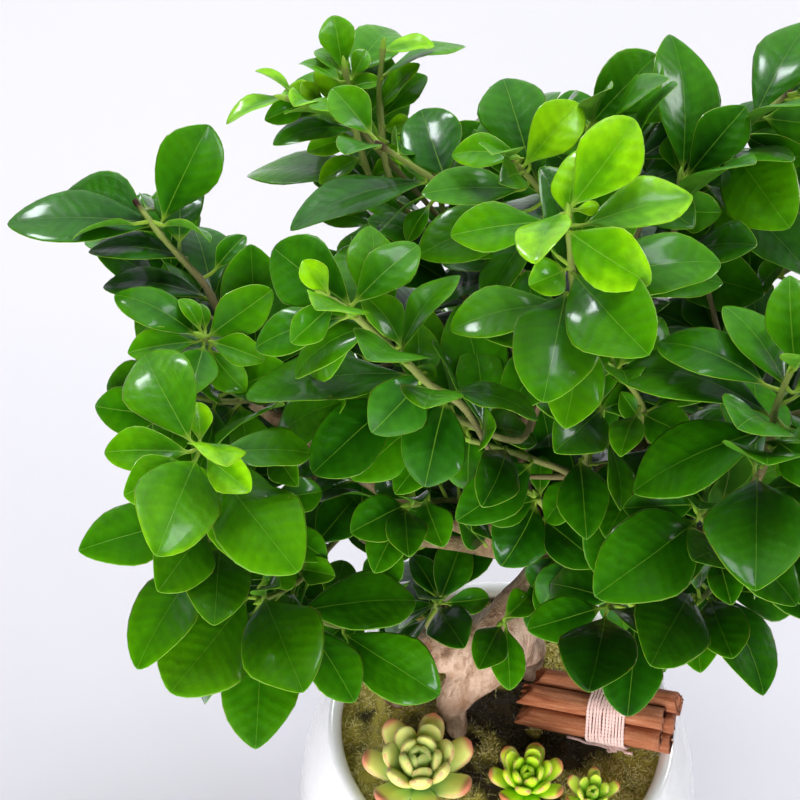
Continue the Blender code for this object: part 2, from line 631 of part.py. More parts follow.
def grow_ruled_leaves(crown, paths, leaves, name, count, share, dice):
    """Leaves by rule along a stem: each one golden angle further round, where there is room for it."""
    turn = dice.uniform(0, math.tau)
    for number in range(count):
        place = 1 - share * number / max(count - 1, 1)
        length = dice.uniform(44, 54) * (0.62 if number == 0 else 1)
        for attempt in range(LEAF_ATTEMPTS):
            leaf = ruled_leaf(paths[name], place, turn + attempt * 0.4, length * (1 - 0.02 * attempt),
                              dice.uniform(0.05, 0.45), dice.uniform(-0.3, 0.3))
            if crown.behind(leaf) and crown.clear(name, leaf):
                leaves[name].append(leaf)
                crown.add(name, *leaf_shape(leaf, BLADE_THICKNESS))
                break
        turn += GOLDEN_ANGLE


def grow_crown():
    """Limbs, stem paths and leaves of the whole crown."""
    crown = Crown()
    limbs, paths = grow_stems(crown)
    leaves = {name: [] for name in paths}
    grow_seen_leaves(crown, paths, leaves)
    dice = random.Random(11)
    for name, (_, _, count) in RULED_SHOOTS.items():
        grow_ruled_leaves(crown, paths, leaves, name, count, 0.62, dice)
    for name in SEEN_SHOOTS:
        if len(leaves[name]) < FULL_SHOOT:
            grow_ruled_leaves(crown, paths, leaves, name, INNER_LEAVES, 0.8, dice)
    return limbs, paths, leaves


def new_material(name, colour, roughness, metallic=0.0):
    material = bpy.data.materials.new(name)
    material.use_nodes = True
    shader = material.node_tree.nodes["Principled BSDF"]
    shader.inputs["Base Color"].default_value = (*colour, 1)
    shader.inputs["Roughness"].default_value = roughness
    shader.inputs["Metallic"].default_value = metallic
    return material


def new_object(name, corners, faces, edges=()):
    """Object whose mesh has the given corners, in millimetres."""
    mesh = bpy.data.meshes.new(name)
    mesh.from_pydata([Vector(corner) * MM for corner in corners], edges, faces)
    made = bpy.data.objects.new(name, mesh)
    part_collection.objects.link(made)
    return made


def as_mesh(made, weld=0.001):
    """The object with its modifiers applied, or a curve turned into a closed mesh."""
    bpy.context.view_layer.update()
    evaluated = made.evaluated_get(bpy.context.evaluated_depsgraph_get())
    mesh = bpy.data.meshes.new_from_object(evaluated)
    shell = bmesh.new()
    shell.from_mesh(mesh)
    bmesh.ops.remove_doubles(shell, verts=shell.verts, dist=weld * MM)
    # A face of many corners, left by a cut or a union, is split so that no two splits share an edge
    bmesh.ops.triangulate(shell, faces=[face for face in shell.faces if len(face.verts) > 4], ngon_method="BEAUTY")
    shell.to_mesh(mesh)
    shell.free()
    solid = bpy.data.objects.new(made.name + "_solid", mesh)
    solid.matrix_world = made.matrix_world
    part_collection.objects.link(solid)
    name = made.name
    bpy.data.objects.remove(made)
    solid.name = name
    return solid


def turned(name, profile, steps=ROUND_STEPS):
    """Round piece from a profile of (radius, height) that runs down its outer side."""
    corners = [(radius, 0, height) for radius, height in profile]
    edges = [(i, i + 1) for i in range(len(profile) - 1)]
    made = new_object(name, corners, (), edges)
    screw = made.modifiers.new("Turn", "SCREW")
    screw.steps = screw.render_steps = steps
    screw.use_merge_vertices = True
    screw.merge_threshold = 0.01 * MM
    return as_mesh(made)


def tube(name, path, radii, resolution):
    """Round bar along a path with a radius at each point and closed ends."""
    curve = bpy.data.curves.new(name, "CURVE")
    curve.dimensions = "3D"
    curve.bevel_depth = MM
    curve.bevel_resolution = resolution
    curve.use_fill_caps = True
    spline = curve.splines.new("POLY")
    spline.points.add(len(path) - 1)
    for spot, point, radius in zip(spline.points, path, radii):
        spot.co = (*(point * MM), 1)
        spot.radius = radius
    made = bpy.data.objects.new(name, curve)
    part_collection.objects.link(made)
    return as_mesh(made)


def join_solids(name, solids):
    """One solid from several that run into each other, by a Boolean union with the rest of them."""
    first, *rest = solids
    first.name = name
    group = bpy.data.collections.new(name + "_pieces")
    for solid in rest:
        group.objects.link(solid)
        part_collection.objects.unlink(solid)
    bpy.context.scene.collection.children.link(group)
    union = first.modifiers.new("Join", "BOOLEAN")
    union.operation = "UNION"
    union.operand_type = "COLLECTION"
    union.collection = group
    union.solver = "MANIFOLD"
    joined = as_mesh(first)
    for solid in rest:
        bpy.data.objects.remove(solid)
    bpy.data.collections.remove(group)
    return joined


def cut_holes(solid, holes):
    """Plain round holes through a solid, as (middle across, middle front to back, radius, bottom, top)."""
    for across, back, radius, bottom, top in holes:
        # The flats of the hole's sides, and not only its corners, clear the round plug
        corner = radius / math.cos(math.pi / PLUG_SIDES) * MM
        shell = bmesh.new()
        bmesh.ops.create_cone(shell, cap_ends=True, segments=PLUG_SIDES, radius1=corner, radius2=corner,
                              depth=(top - bottom) * MM,
                              matrix=Matrix.Translation(Vector((across, back, (top + bottom) / 2)) * MM))
        mesh = bpy.data.meshes.new("hole")
        shell.to_mesh(mesh)
        shell.free()
        cutter = bpy.data.objects.new("hole", mesh)
        cutter.hide_render = True
        cutter.display_type = "WIRE"
        cutter_collection.objects.link(cutter)
        cut = solid.modifiers.new("Hole", "BOOLEAN")
        cut.operation = "DIFFERENCE"
        cut.object = cutter
    solid = as_mesh(solid)
    for cutter in list(cutter_collection.objects):
        bpy.data.objects.remove(cutter)
    return solid


def finish(solid, material, smooth_below=40):
    solid.data.materials.clear()
    solid.data.materials.append(material)
    solid.data.shade_smooth()
    solid.data.set_sharp_from_angle(angle=math.radians(smooth_below))
    return solid


def bowl_radius(height, inset=0.0):
    """Outer radius of the bowl at a height, or the radius of its inside where inset is the wall."""
    middle = POT_BELLY_HEIGHT
    if height >= middle:
        reach = SHOULDER_REACH - inset
        rise = SHOULDER_RISE - inset
        return POT_BELLY_RADIUS - SHOULDER_REACH + reach * math.sqrt(1 - ((height - middle) / rise) ** 2)
    reach = POT_BELLY_RADIUS - POT_FOOT_RADIUS
    depth = (middle - height) / (middle - inset)
    return POT_FOOT_RADIUS - inset + reach * math.sqrt(max(1 - depth ** 2, 0))


def inside_radius(height):
    """Radius of the bowl's inside at a height, as made: straight between the profile's points."""
    heights = [z for z in INSIDE_HEIGHTS if z > height]
    above = heights[0]
    below = INSIDE_HEIGHTS[INSIDE_HEIGHTS.index(above) - 1]
    share = (height - below) / (above - below)
    return bowl_radius(below, POT_WALL) * (1 - share) + bowl_radius(above, POT_WALL) * share


def make_pot():
    """White glazed bowl: outer side, rolled rim, inside and flat floor in one profile."""
    rim = POT_WALL / 2
    rim_height = POT_HEIGHT - rim
    inside = [(0, POT_FLOOR), (POT_FOOT_RADIUS - POT_WALL, POT_FLOOR)]
    inside += [(bowl_radius(z, POT_WALL), z) for z in INSIDE_HEIGHTS[:-1]]
    outer = bowl_radius(rim_height)
    middle = outer - rim
    over = [(middle + rim * math.cos(angle), rim_height + rim * math.sin(angle))
            for angle in (math.pi * (1 - i / 4) for i in range(5))]
    outside = [(bowl_radius(z), z) for z in (134, 118, 100, 80, 60, 40, 22, 9, 2)]
    foot = [(POT_FOOT_RADIUS, 0), (0, 0)]
    return finish(turned("pot", inside + over + outside + foot), new_material("glazed", (0.9, 0.9, 0.89), 0.12))


def moss_height(across, back):
    """Height of the moss at a place: level with soft mounds."""
    spot = Vector((across, back, 3)) / MOSS_BUMP_SPACING
    return MOSS_TOP + MOSS_BUMP * noise.noise(spot) + MOSS_BUMP * 0.5 * noise.noise(spot * 2.3)


def make_soil():
    gap = GAP + 0.1
    profile = [(0, SOIL_TOP), (inside_radius(SOIL_TOP) - gap, SOIL_TOP)]
    profile += [(inside_radius(z) - gap, z) for z in reversed(INSIDE_HEIGHTS) if z < SOIL_TOP]
    profile += [(POT_FOOT_RADIUS - POT_WALL - gap, POT_FLOOR + GAP), (0, POT_FLOOR + GAP)]
    soil = cut_holes(turned("soil", profile), plug_holes(PLUG_FOOT - GAP, SOIL_TOP + 10))
    return finish(soil, new_material("earth", (0.035, 0.022, 0.014), 0.95))


def make_moss():
    """Mat of moss from wall to wall with a mounded top, on the soil."""
    bottom = SOIL_TOP + GAP
    edge = inside_radius(MOSS_TOP + MOSS_BUMP) - 0.8
    profile = [(edge * i / MOSS_RINGS, MOSS_TOP) for i in range(MOSS_RINGS + 1)] + [(edge, bottom), (0, bottom)]
    moss = turned("moss", profile)
    for corner in moss.data.vertices:
        if corner.co.z > (bottom + 1) * MM:
            corner.co.z = moss_height(corner.co.x / MM, corner.co.y / MM) * MM
    moss = cut_holes(moss, plug_holes(bottom - 10, MOSS_TOP + 20))
    return finish(moss, new_material("moss", (0.13, 0.14, 0.02), 0.95))


def plug_holes(bottom, top):
    """Holes for the roots and the succulents' stems."""
    holes = [(x, y, radius + GAP, bottom, top) for (*_, ((x, y, _), radius)) in ROOTS.values()]
    holes += [(x, y, SUCCULENT_STEM_RADIUS + GAP, bottom, top) for x, y, _, _ in SUCCULENTS.values()]
    return holes


def make_wood(limbs):
    """Roots, trunk and limbs, grown together."""
    solids = [tube("trunk", [Vector(point) for point, _ in TRUNK], [radius for _, radius in TRUNK], 2)]
    for root in ROOTS.values():
        solids.append(tube("root", [Vector(point) for point, _ in root], [radius for _, radius in root], 2))
    for limb in limbs:
        solids.append(tube("limb", [point for point, _ in limb], [radius for _, radius in limb], 1))
    return finish(join_solids("trunk_and_limbs", solids), new_material("bark", (0.42, 0.26, 0.17), 0.75))


def spoon_leaf(length, width, thickness, rise, turn, base):
    """Fat pointed leaf of a succulent: a closed loft of four-cornered rows from its foot to its tip."""
    rows = ((0.0, 0.5), (0.48, 0.95), (0.84, 0.8))
    frame = Matrix.Rotation(turn, 3, "Z") @ Matrix.Rotation(-rise, 3, "Y")
    base = base + frame @ Vector((length * 0.12, 0, 0))
    corners = []
    for t, share in rows:
        half = width / 2 * share
        deep = thickness / 2 * (0.6 + 0.4 * share)
        bend = length * 0.16 * t * t
        for y, z in ((-half, 0.3), (0, deep), (half, 0.3), (0, -deep)):
            corners.append(base + frame @ Vector((t * length, y, z + bend)))
    corners.append(base + frame @ Vector((length, 0, length * 0.22)))
    faces = [(0, 1, 2), (0, 2, 3)]
    last = len(corners) - 1
    for a, b in ((0, 1), (1, 2), (2, 3), (3, 0)):
        for row in range(0, last - 4, 4):
            faces += [(row + a, row + a + 4, row + b + 4), (row + a, row + b + 4, row + b)]
        faces.append((last - 4 + a, last, last - 4 + b))
    return corners, faces


def make_succulent(name, across, back, radius, rings):
    """Rosette of fat leaves in rings that rise towards the middle, on a short stem in the soil."""
    around = [Vector((0, 0)), *(Matrix.Rotation(math.tau * i / 12, 2) @ Vector((radius * share, 0))
                                for i in range(12) for share in (0.5, 1.0))]
    ground = max(moss_height(across + spot.x, back + spot.y) for spot in around)
    stem = [Vector((across, back, height)) for height in (PLUG_FOOT, ground + 0.5, ground + radius * 0.34)]
    top = stem[-1]
    solids = [tube("stem", stem, [SUCCULENT_STEM_RADIUS, SUCCULENT_STEM_RADIUS, radius * 0.24], 2)]
    for ring, count in enumerate(rings):
        inward = ring / len(rings)
        length = radius * (1 - 0.52 * inward)
        width = math.tau * radius * 0.62 / rings[0] * (1 - 0.45 * inward)
        rise = math.radians(16 + 62 * inward)
        base = top - Vector((0, 0, radius * (0.10 - 0.16 * inward)))
        for number in range(count):
            turn = math.tau * (number + 0.5 * (ring % 2)) / count + SUCCULENT_TURN * (1 + ring)
            corners, faces = spoon_leaf(length, width, radius * 0.17, rise, turn, base)
            solids.append(new_object("leaf", corners, faces))
    return finish(join_solids(name, solids), new_material(name, (0.42, 0.55, 0.20), 0.45))


def scroll_outline():
    """Outline of a rolled strip of bark, open in one place with both edges curled in."""
    outer, inner = [], []
    for i in range(STICK_SIDES):
        angle = math.radians(-158 + 316 * i / (STICK_SIDES - 1))
        curl = max(0, abs(math.degrees(angle)) - 110) / 48
        radius = STICK_RADIUS - 1.5 * curl ** 2
        outer.append((radius * math.cos(angle), radius * math.sin(angle)))
        inner.append(((radius - STICK_BARK) * math.cos(angle), (radius - STICK_BARK) * math.sin(angle)))
    return outer, inner


def make_stick(name, middle, roll, along_shift, frame):
    """Cinnamon stick: the scroll outline drawn along the bundle's direction."""
    outer, inner = scroll_outline()
    ring = outer + inner[::-1]
    count = len(ring)
    half = STICK_LENGTH / 2
    corners = []
    for end in (-half, half):
        for x, y in ring:
            turned_spot = Matrix.Rotation(roll, 2) @ Vector((x, y))
            corners.append(frame @ (middle + Vector((turned_spot.x, turned_spot.y, end + along_shift))))
    faces = [(i + count, (i + 1) % count + count, (i + 1) % count, i) for i in range(count)]
    for i in range(STICK_SIDES - 1):
        a, b, c, d = i, i + 1, count - 2 - i, count - 1 - i
        faces.append((a, b, c, d))
        faces.append((d + count, c + count, b + count, a + count))
    stick = new_object(name, corners, faces)
    return finish(stick, cinnamon)


def bundle_frame():
    """Turns the bundle's own coordinates, with z along it, into the pot's."""
    along = (BUNDLE_RIGHT - BUNDLE_LEFT).normalized()
    level = Vector((0, 0, 1)).cross(along).normalized()
    up = along.cross(level)
    turn = Matrix((up, level, along)).transposed().to_4x4()
    return Matrix.Translation((BUNDLE_LEFT + BUNDLE_RIGHT) / 2) @ turn


def bundle_places():
    """Middles of the sticks across the bundle: one, and six round it with a pair at the bottom."""
    places = [Vector((0, 0, 0))]
    for i in range(6):
        angle = math.radians(60 * i + 30)
        places.append(Vector((STICK_SPACING * math.cos(angle), STICK_SPACING * math.sin(angle), 0)))
    return places


def wrap_point(corner, step, offset):
    """Point of a wrap pulled tight round the six outer sticks, at a distance outside them."""
    middle = bundle_places()[1 + corner % 6]
    angle = math.radians(60 * corner + 30 + 30 * step)
    reach = STICK_RADIUS + offset
    return middle + Vector((reach * math.cos(angle), reach * math.sin(angle), 0))


def make_twine(frame):
    """Turns of twine side by side, with a knot and a loose end at the front."""
    place = (TWINE_PLACE - 0.5) * STICK_LENGTH
    half = TWINE_TURNS * TWINE_WIDTH / 2
    rows = [(GAP + WRAP_SLACK, -half)]
    for turn in range(TWINE_TURNS):
        start = -half + turn * TWINE_WIDTH
        rows += [(GAP + 1.2, start + 0.1), (GAP + 2.4, start + TWINE_WIDTH / 2)]
    rows += [(GAP + 1.2, half - 0.1), (GAP + WRAP_SLACK, half)]
    around = [(corner, step) for corner in range(6) for step in (-0.6, 0.6)]
    corners = [frame @ (wrap_point(corner, step, offset) + Vector((0, 0, place + along)))
               for offset, along in rows for corner, step in around]
    count = len(around)
    faces = []
    for row in range(len(rows)):
        below = (row + 1) % len(rows)
        for i in range(count):
            j = (i + 1) % count
            faces.append((below * count + i, below * count + j, row * count + j, row * count + i))
    band = new_object("twine_band", corners, faces)
    knot_place = wrap_point(3, 0.6, GAP + TWINE_WIDTH * 0.6) + Vector((0, 0, place + 1.3))
    shell = bmesh.new()
    bmesh.ops.create_icosphere(shell, subdivisions=1, radius=3 * MM,
                               matrix=Matrix.Translation(frame @ knot_place * MM))
    mesh = bpy.data.meshes.new("knot")
    shell.to_mesh(mesh)
    shell.free()
    knot = bpy.data.objects.new("knot", mesh)
    part_collection.objects.link(knot)
    end = [frame @ (wrap_point(3, 0.6, GAP + 1.3) + Vector((0, 0, place + along))) for along in (1, -9, -20)]
    loose = tube("loose_end", end, [0.8, 0.8, 0.7], 0)
    return finish(join_solids("twine", [band, knot, loose]), new_material("twine", (0.55, 0.42, 0.32), 0.9))


def make_shoot(name, path, leaves):
    """Leafy stem: the stem with its leaves' stalks sunk into it."""
    radii = stem_radii(path)
    path = path[:-1] + [path[-1] + (path[-1] - path[-2]).normalized() * 2]
    solids = [tube(name, path, radii, 0)]
    for leaf in leaves:
        solids.append(new_object("leaf", *leaf_shape(leaf, BLADE_THICKNESS)))
    return finish(join_solids("shoot_" + name, solids), leaf_green)


for leftover in list(bpy.data.objects):
    bpy.data.objects.remove(leftover)
part_collection = bpy.data.collections.new("ficus_bonsai")
cutter_collection = bpy.data.collections.new("cutters")
bpy.context.scene.collection.children.link(part_collection)
bpy.context.scene.collection.children.link(cutter_collection)

make_pot()
make_soil()
make_moss()
for succulent, sizes in SUCCULENTS.items():
    make_succulent(succulent, *sizes)

cinnamon = new_material("cinnamon", (0.42, 0.15, 0.06), 0.6)
bundle = bundle_frame()
stick_dice = random.Random(5)
for number, middle in enumerate(bundle_places()):
    make_stick(f"cinnamon_{number + 1}", middle, stick_dice.uniform(0, math.tau), stick_dice.uniform(-3, 3), bundle)
make_twine(bundle)

leaf_green = new_material("leaf", (0.03, 0.16, 0.02), 0.3)
crown_limbs, crown_paths, crown_leaves = grow_crown()
make_wood(crown_limbs)
for shoot, stem_path in crown_paths.items():
    make_shoot(shoot, stem_path, crown_leaves[shoot])
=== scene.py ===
import math
import random

import bpy
import numpy as np
from mathutils import Matrix, Vector, noise
from mathutils.bvhtree import BVHTree


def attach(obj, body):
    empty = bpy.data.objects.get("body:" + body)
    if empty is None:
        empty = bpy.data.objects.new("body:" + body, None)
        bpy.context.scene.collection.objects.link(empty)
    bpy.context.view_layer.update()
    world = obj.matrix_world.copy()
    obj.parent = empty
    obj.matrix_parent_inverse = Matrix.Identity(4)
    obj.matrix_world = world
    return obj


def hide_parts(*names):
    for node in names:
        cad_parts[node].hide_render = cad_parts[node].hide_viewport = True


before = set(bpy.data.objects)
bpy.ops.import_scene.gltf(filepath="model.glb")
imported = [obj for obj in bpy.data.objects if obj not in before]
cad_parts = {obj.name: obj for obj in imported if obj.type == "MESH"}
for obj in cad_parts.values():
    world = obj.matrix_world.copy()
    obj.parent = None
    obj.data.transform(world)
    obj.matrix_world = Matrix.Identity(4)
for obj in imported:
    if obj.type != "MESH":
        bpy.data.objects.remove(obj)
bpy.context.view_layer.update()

# Camera and studio. The camera looks down on the plant from the front. Pale paper lies under the pot and
# runs back past the plant, and a window behind it on the left gives the gloss on the leaves. The wide soft
# lights overhead and in front and the small card low on the left fill the shade and show in no gloss.
MM = 0.001
SENSOR = 36.0
PICTURE_SIZE = 800.0
PICTURE_CENTRE = 400.0
FOCAL = 1725.0
EYE = Vector((-48.9, -456.2, 865.5))
LOOK_DOWN = math.radians(47)

camera = bpy.data.objects.new("camera", bpy.data.cameras.new("camera"))
camera.data.sensor_width = SENSOR
camera.data.lens = SENSOR * FOCAL / PICTURE_SIZE
camera.data.clip_end = 20
camera.location = EYE * MM
camera.rotation_euler = (math.pi / 2 - LOOK_DOWN, 0, 0)
bpy.context.scene.collection.objects.link(camera)
bpy.context.scene.camera = camera
bpy.context.scene.view_settings.view_transform = "Standard"

FLOOR_SIZE = 7000.0
# The paper's tone changes from a place in front to one behind, darker in front as painted shade where
# the light falls off, and fades into the room between two distances
PAPER_SHADED_FRONT = -450.0
PAPER_LIT_BACK = 1100.0
PAPER_FADES = 1300.0
PAPER_GONE = 2300.0
# Lights as (place, size across, size down, watts, colour, seen in gloss), aimed at the middle of the crown
CROWN_MIDDLE = Vector((0, 30, 330))
LIGHTS = {
    "window": ((-900, 1150, 1500), 200, 440, 8, "#f3f7ff", True),
    "side": ((1500, 500, 900), 450, 600, 8, "#f9fbff", True),
    "strip": ((900, -1350, 760), 130, 520, 3, "#eef4ff", True),
    "skylight": ((260, 520, 1950), 240, 640, 3.2, "#f0f5ff", True),
    "overhead": ((100, 880, 2000), 1700, 1400, 43, "#ffffff", False),
    "front": ((-300, -1550, 950), 1300, 900, 19, "#ffffff", False),
    "low": ((-300, -1500, 300), 1500, 440, 20, "#ffffff", False),
    "card": ((-520, -420, 60), 320, 260, 1.1, "#ffffff", False),
}
# The room's tones from the camera's side to the window's, and its tone where it shows past the paper
ROOM = ((0.0, "#0b0c0d"), (0.55, "#131518"), (0.8, "#454b53"), (1.0, "#e9eff8"))
ROOM_STRENGTH = 0.75
ROOM_SEEN = "#e4e2e7"


def linear(code):
    """Linear colour of an sRGB hex code."""
    parts = [int(code[i:i + 2], 16) / 255 for i in (1, 3, 5)]
    return [part / 12.92 if part <= 0.04045 else ((part + 0.055) / 1.055) ** 2.4 for part in parts] + [1.0]


def add_node(tree, kind, settings=None, links=None):
    """New node of a tree: its properties or its inputs' values are set, and its inputs are linked."""
    node = tree.nodes.new(kind)
    for key, value in (settings or {}).items():
        if key == "stops":
            spare = len(value) - len(node.color_ramp.elements)
            for _ in range(spare):
                node.color_ramp.elements.new(1.0)
            for element, (place, code) in zip(node.color_ramp.elements, value):
                element.position = place
                element.color = linear(code)
        elif isinstance(key, int) or key[0].isupper():
            node.inputs[key].default_value = value
        else:
            setattr(node, key, value)
    for key, source in (links or {}).items():
        tree.links.new(source.outputs[0] if isinstance(source, bpy.types.Node) else source, node.inputs[key])
    return node


for light_name, (place, across, down, watts, code, glossy) in LIGHTS.items():
    lamp = bpy.data.lights.new(light_name, "AREA")
    lamp.shape = "RECTANGLE"
    lamp.size = across * MM
    lamp.size_y = down * MM
    lamp.energy = watts
    lamp.color = linear(code)[:3]
    light = bpy.data.objects.new(light_name, lamp)
    light.location = Vector(place) * MM
    light.rotation_euler = (CROWN_MIDDLE - Vector(place)).to_track_quat("-Z", "Y").to_euler()
    light.visible_glossy = glossy
    light.visible_camera = False
    bpy.context.scene.collection.objects.link(light)

# The room is bright behind the plant and dark behind the camera, and pale where it shows past the paper
room = bpy.data.worlds.new("room")
bpy.context.scene.world = room
room.use_nodes = True
directions = add_node(room.node_tree, "ShaderNodeTexCoord")
depth = add_node(room.node_tree, "ShaderNodeSeparateXYZ", links={0: directions.outputs["Generated"]})
room_tone = add_node(room.node_tree, "ShaderNodeMapRange", {"From Min": -1.0, "From Max": 1.0},
                     {0: depth.outputs["Y"]})
room_colour = add_node(room.node_tree, "ShaderNodeValToRGB", {"stops": ROOM}, {0: room_tone})
room.node_tree.nodes["Background"].inputs["Strength"].default_value = ROOM_STRENGTH
rays = add_node(room.node_tree, "ShaderNodeLightPath")
shown = add_node(room.node_tree, "ShaderNodeMix", {"data_type": "RGBA", 7: linear(ROOM_SEEN)},
                 {"Factor": rays.outputs["Is Camera Ray"], 6: room_colour})
room.node_tree.links.new(shown.outputs[2], room.node_tree.nodes["Background"].inputs["Color"])


def new_material(name, roughness, **sockets):
    """Material with a plain shader, whose sockets with one value all over are set here."""
    material = bpy.data.materials.new(name)
    material.use_nodes = True
    shader = material.node_tree.nodes["Principled BSDF"]
    shader.inputs["Roughness"].default_value = roughness
    for key, value in sockets.items():
        shader.inputs[key.replace("_", " ").title().replace("Ior", "IOR")].default_value = value
    return material, material.node_tree, shader


def per_mm(size):
    """Scale of a texture on Blender's metres for features of a size in mm."""
    return 1 / (size * MM)


class Shell:
    """Gathers the corners, faces and painted marks of one piece, then makes its mesh."""

    def __init__(self):
        self.corners = []
        self.faces = []
        self.skins = []
        self.marks = {}

    def add(self, corners, faces, skins=0, **marks):
        """Adds a shape in mm, with the material of each face and its marks, one vector for each corner."""
        start = len(self.corners)
        self.corners += corners
        self.faces += [tuple(start + i for i in face) for face in faces]
        self.skins += [skins] * len(faces) if isinstance(skins, int) else skins
        for name, values in marks.items():
            known = self.marks.setdefault(name, [])
            known += [(0, 0, 0)] * (start - len(known)) + values

    def make(self, name, materials):
        mesh = bpy.data.meshes.new(name)
        mesh.from_pydata([tuple(corner * MM) for corner in self.corners], [], self.faces)
        for material in materials:
            mesh.materials.append(material)
        mesh.polygons.foreach_set("material_index", self.skins)
        mesh.shade_smooth()
        for mark, values in self.marks.items():
            values = values + [(0, 0, 0)] * (len(self.corners) - len(values))
            layer = mesh.attributes.new(mark, "FLOAT_VECTOR", "POINT")
            layer.data.foreach_set("vector", np.array(values, np.float32).ravel())
        made = bpy.data.objects.new(name, mesh)
        bpy.context.scene.collection.objects.link(made)
        return made


def place_piece(made, slot, *nodes):
    """The piece is part of the object and stands for CAD nodes, which are hidden. The slot is not used."""
    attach(made, "root")
    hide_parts(*nodes)


# Paper with a very slight tooth, painted darker towards the front and paler towards the back as painted
# shade and light, which fades into the room's tone far away
paper, tree, shader = new_material("backdrop_paper", 0.9)
places = add_node(tree, "ShaderNodeTexCoord")
parts = add_node(tree, "ShaderNodeSeparateXYZ", links={0: places.outputs["Object"]})
tooth = add_node(tree, "ShaderNodeTexNoise", {"Scale": per_mm(120), "Detail": 3.0})
back = add_node(tree, "ShaderNodeMapRange", {"From Min": PAPER_SHADED_FRONT * MM, "From Max": PAPER_LIT_BACK * MM},
                {0: parts.outputs["Y"]})
back = add_node(tree, "ShaderNodeMath", {"operation": "MULTIPLY_ADD", 1: 0.1}, {0: tooth, 2: back})
# Painted shade: the tone runs from darker paper in front to paler paper behind.
tone = add_node(tree, "ShaderNodeValToRGB",
                {"stops": ((0.05, "#c7c4cb"), (0.4, "#c7c5cb"), (0.65, "#d9d7dc"), (1.0, "#dfdde1"))},
                {0: back})
tree.links.new(tone.outputs[0], shader.inputs["Base Color"])
apart = add_node(tree, "ShaderNodeVectorMath", {"operation": "LENGTH"}, {0: places.outputs["Object"]})
faded = add_node(tree, "ShaderNodeMapRange",
                 {"interpolation_type": "SMOOTHSTEP", "From Min": PAPER_FADES * MM,
                  "From Max": PAPER_GONE * MM}, {0: apart.outputs["Value"]})
distant = add_node(tree, "ShaderNodeEmission", {"Color": linear(ROOM_SEEN), "Strength": ROOM_STRENGTH})
mixed = add_node(tree, "ShaderNodeMixShader", links={0: faded, 1: shader, 2: distant})
tree.links.new(mixed.outputs[0], tree.nodes["Material Output"].inputs["Surface"])
floor_shell = Shell()
half_floor = FLOOR_SIZE / 2
floor_corners = ((-1, -1), (1, -1), (1, 1), (-1, 1))
floor_shell.add([Vector((x * half_floor, y * half_floor, 0)) for x, y in floor_corners], [(0, 1, 2, 3)])
floor = floor_shell.make("floor", [paper])


# Pot: one piece of white earthenware, thrown round with a wall that closes in at the rim, and glazed
# all over. The rim is rolled and has no lip.
POT_HEIGHT = 150.0
POT_BELLY_RADIUS = 100.0
POT_BELLY_HEIGHT = 80.0
POT_FOOT_RADIUS = 56.0
POT_WALL = 7.5
POT_FLOOR = 9.0
SHOULDER_REACH = 35.0
SHOULDER_RISE = 80.0
FOOT_ROUNDING = 2.0
FOOT_EDGE_HEIGHT = 0.9
INSIDE_FOOT = 13.0
INSIDE_SHOULDER = 140.0
POT_STEPS = 144
RIM_STEPS = 12
SIDE_STEP = 4.0
GLAZE = (("#f7f6f7", 0.3), ("#fbfafb", 0.7))


def bowl_radius(height, inset=0.0):
    """Outer radius of the bowl at a height, or the radius of its inside where inset is the wall."""
    middle = POT_BELLY_HEIGHT
    if height >= middle:
        reach = SHOULDER_REACH - inset
        rise = SHOULDER_RISE - inset
        return POT_BELLY_RADIUS - SHOULDER_REACH + reach * math.sqrt(1 - ((height - middle) / rise) ** 2)
    reach = POT_BELLY_RADIUS - POT_FOOT_RADIUS
    depth = (middle - height) / (middle - inset)
    return POT_FOOT_RADIUS - inset + reach * math.sqrt(max(1 - depth ** 2, 0))


def skinned(rings, first_cap=True, last_cap=True):
    """Corners and faces of a skin over rings of points that go round the way they lead, with end caps."""
    count = len(rings[0])
    corners = [point for ring in rings for point in ring]
    faces = [(row * count + i, row * count + (i + 1) % count, (row + 1) * count + (i + 1) % count,
              (row + 1) * count + i) for row in range(len(rings) - 1) for i in range(count)]
    if first_cap:
        faces.append(tuple(reversed(range(count))))
    if last_cap:
        faces.append(tuple(range(len(corners) - count, len(corners))))
    return corners, faces


def turned_rings(profile, steps):
    """Rings of a round piece from a profile of (radius, height)."""
    turns = [math.tau * i / steps for i in range(steps)]
    return [[Vector((radius * math.cos(turn), radius * math.sin(turn), height)) for turn in turns]
            for radius, height in profile]


def steps_between(low, high, step):
    """Evenly spaced values from low up to, and not including, high."""
    count = max(1, round((high - low) / step))
    return [low + (high - low) * i / count for i in range(count)]


rim_radius = POT_WALL / 2
rim_height = POT_HEIGHT - rim_radius
rim_middle = bowl_radius(rim_height) - rim_radius
pot_profile = [(POT_FOOT_RADIUS - FOOT_ROUNDING, 0)]
pot_profile += [(POT_FOOT_RADIUS + FOOT_ROUNDING * (math.sin(angle) - 1)
                 + bowl_radius(FOOT_EDGE_HEIGHT) - POT_FOOT_RADIUS,
                 FOOT_ROUNDING * (1 - math.cos(angle))) for angle in (0.5, 1.0)]
pot_profile += [(bowl_radius(z), z) for z in steps_between(FOOT_ROUNDING, rim_height, SIDE_STEP)]
pot_profile += [(rim_middle + rim_radius * math.cos(math.pi * i / RIM_STEPS),
                 rim_height + rim_radius * math.sin(math.pi * i / RIM_STEPS)) for i in range(RIM_STEPS + 1)]
inside_heights = steps_between(INSIDE_FOOT, INSIDE_SHOULDER, SIDE_STEP)[::-1]
pot_profile += [(bowl_radius(z, POT_WALL), z) for z in inside_heights]
pot_profile += [(POT_FOOT_RADIUS - POT_WALL, POT_FLOOR)]

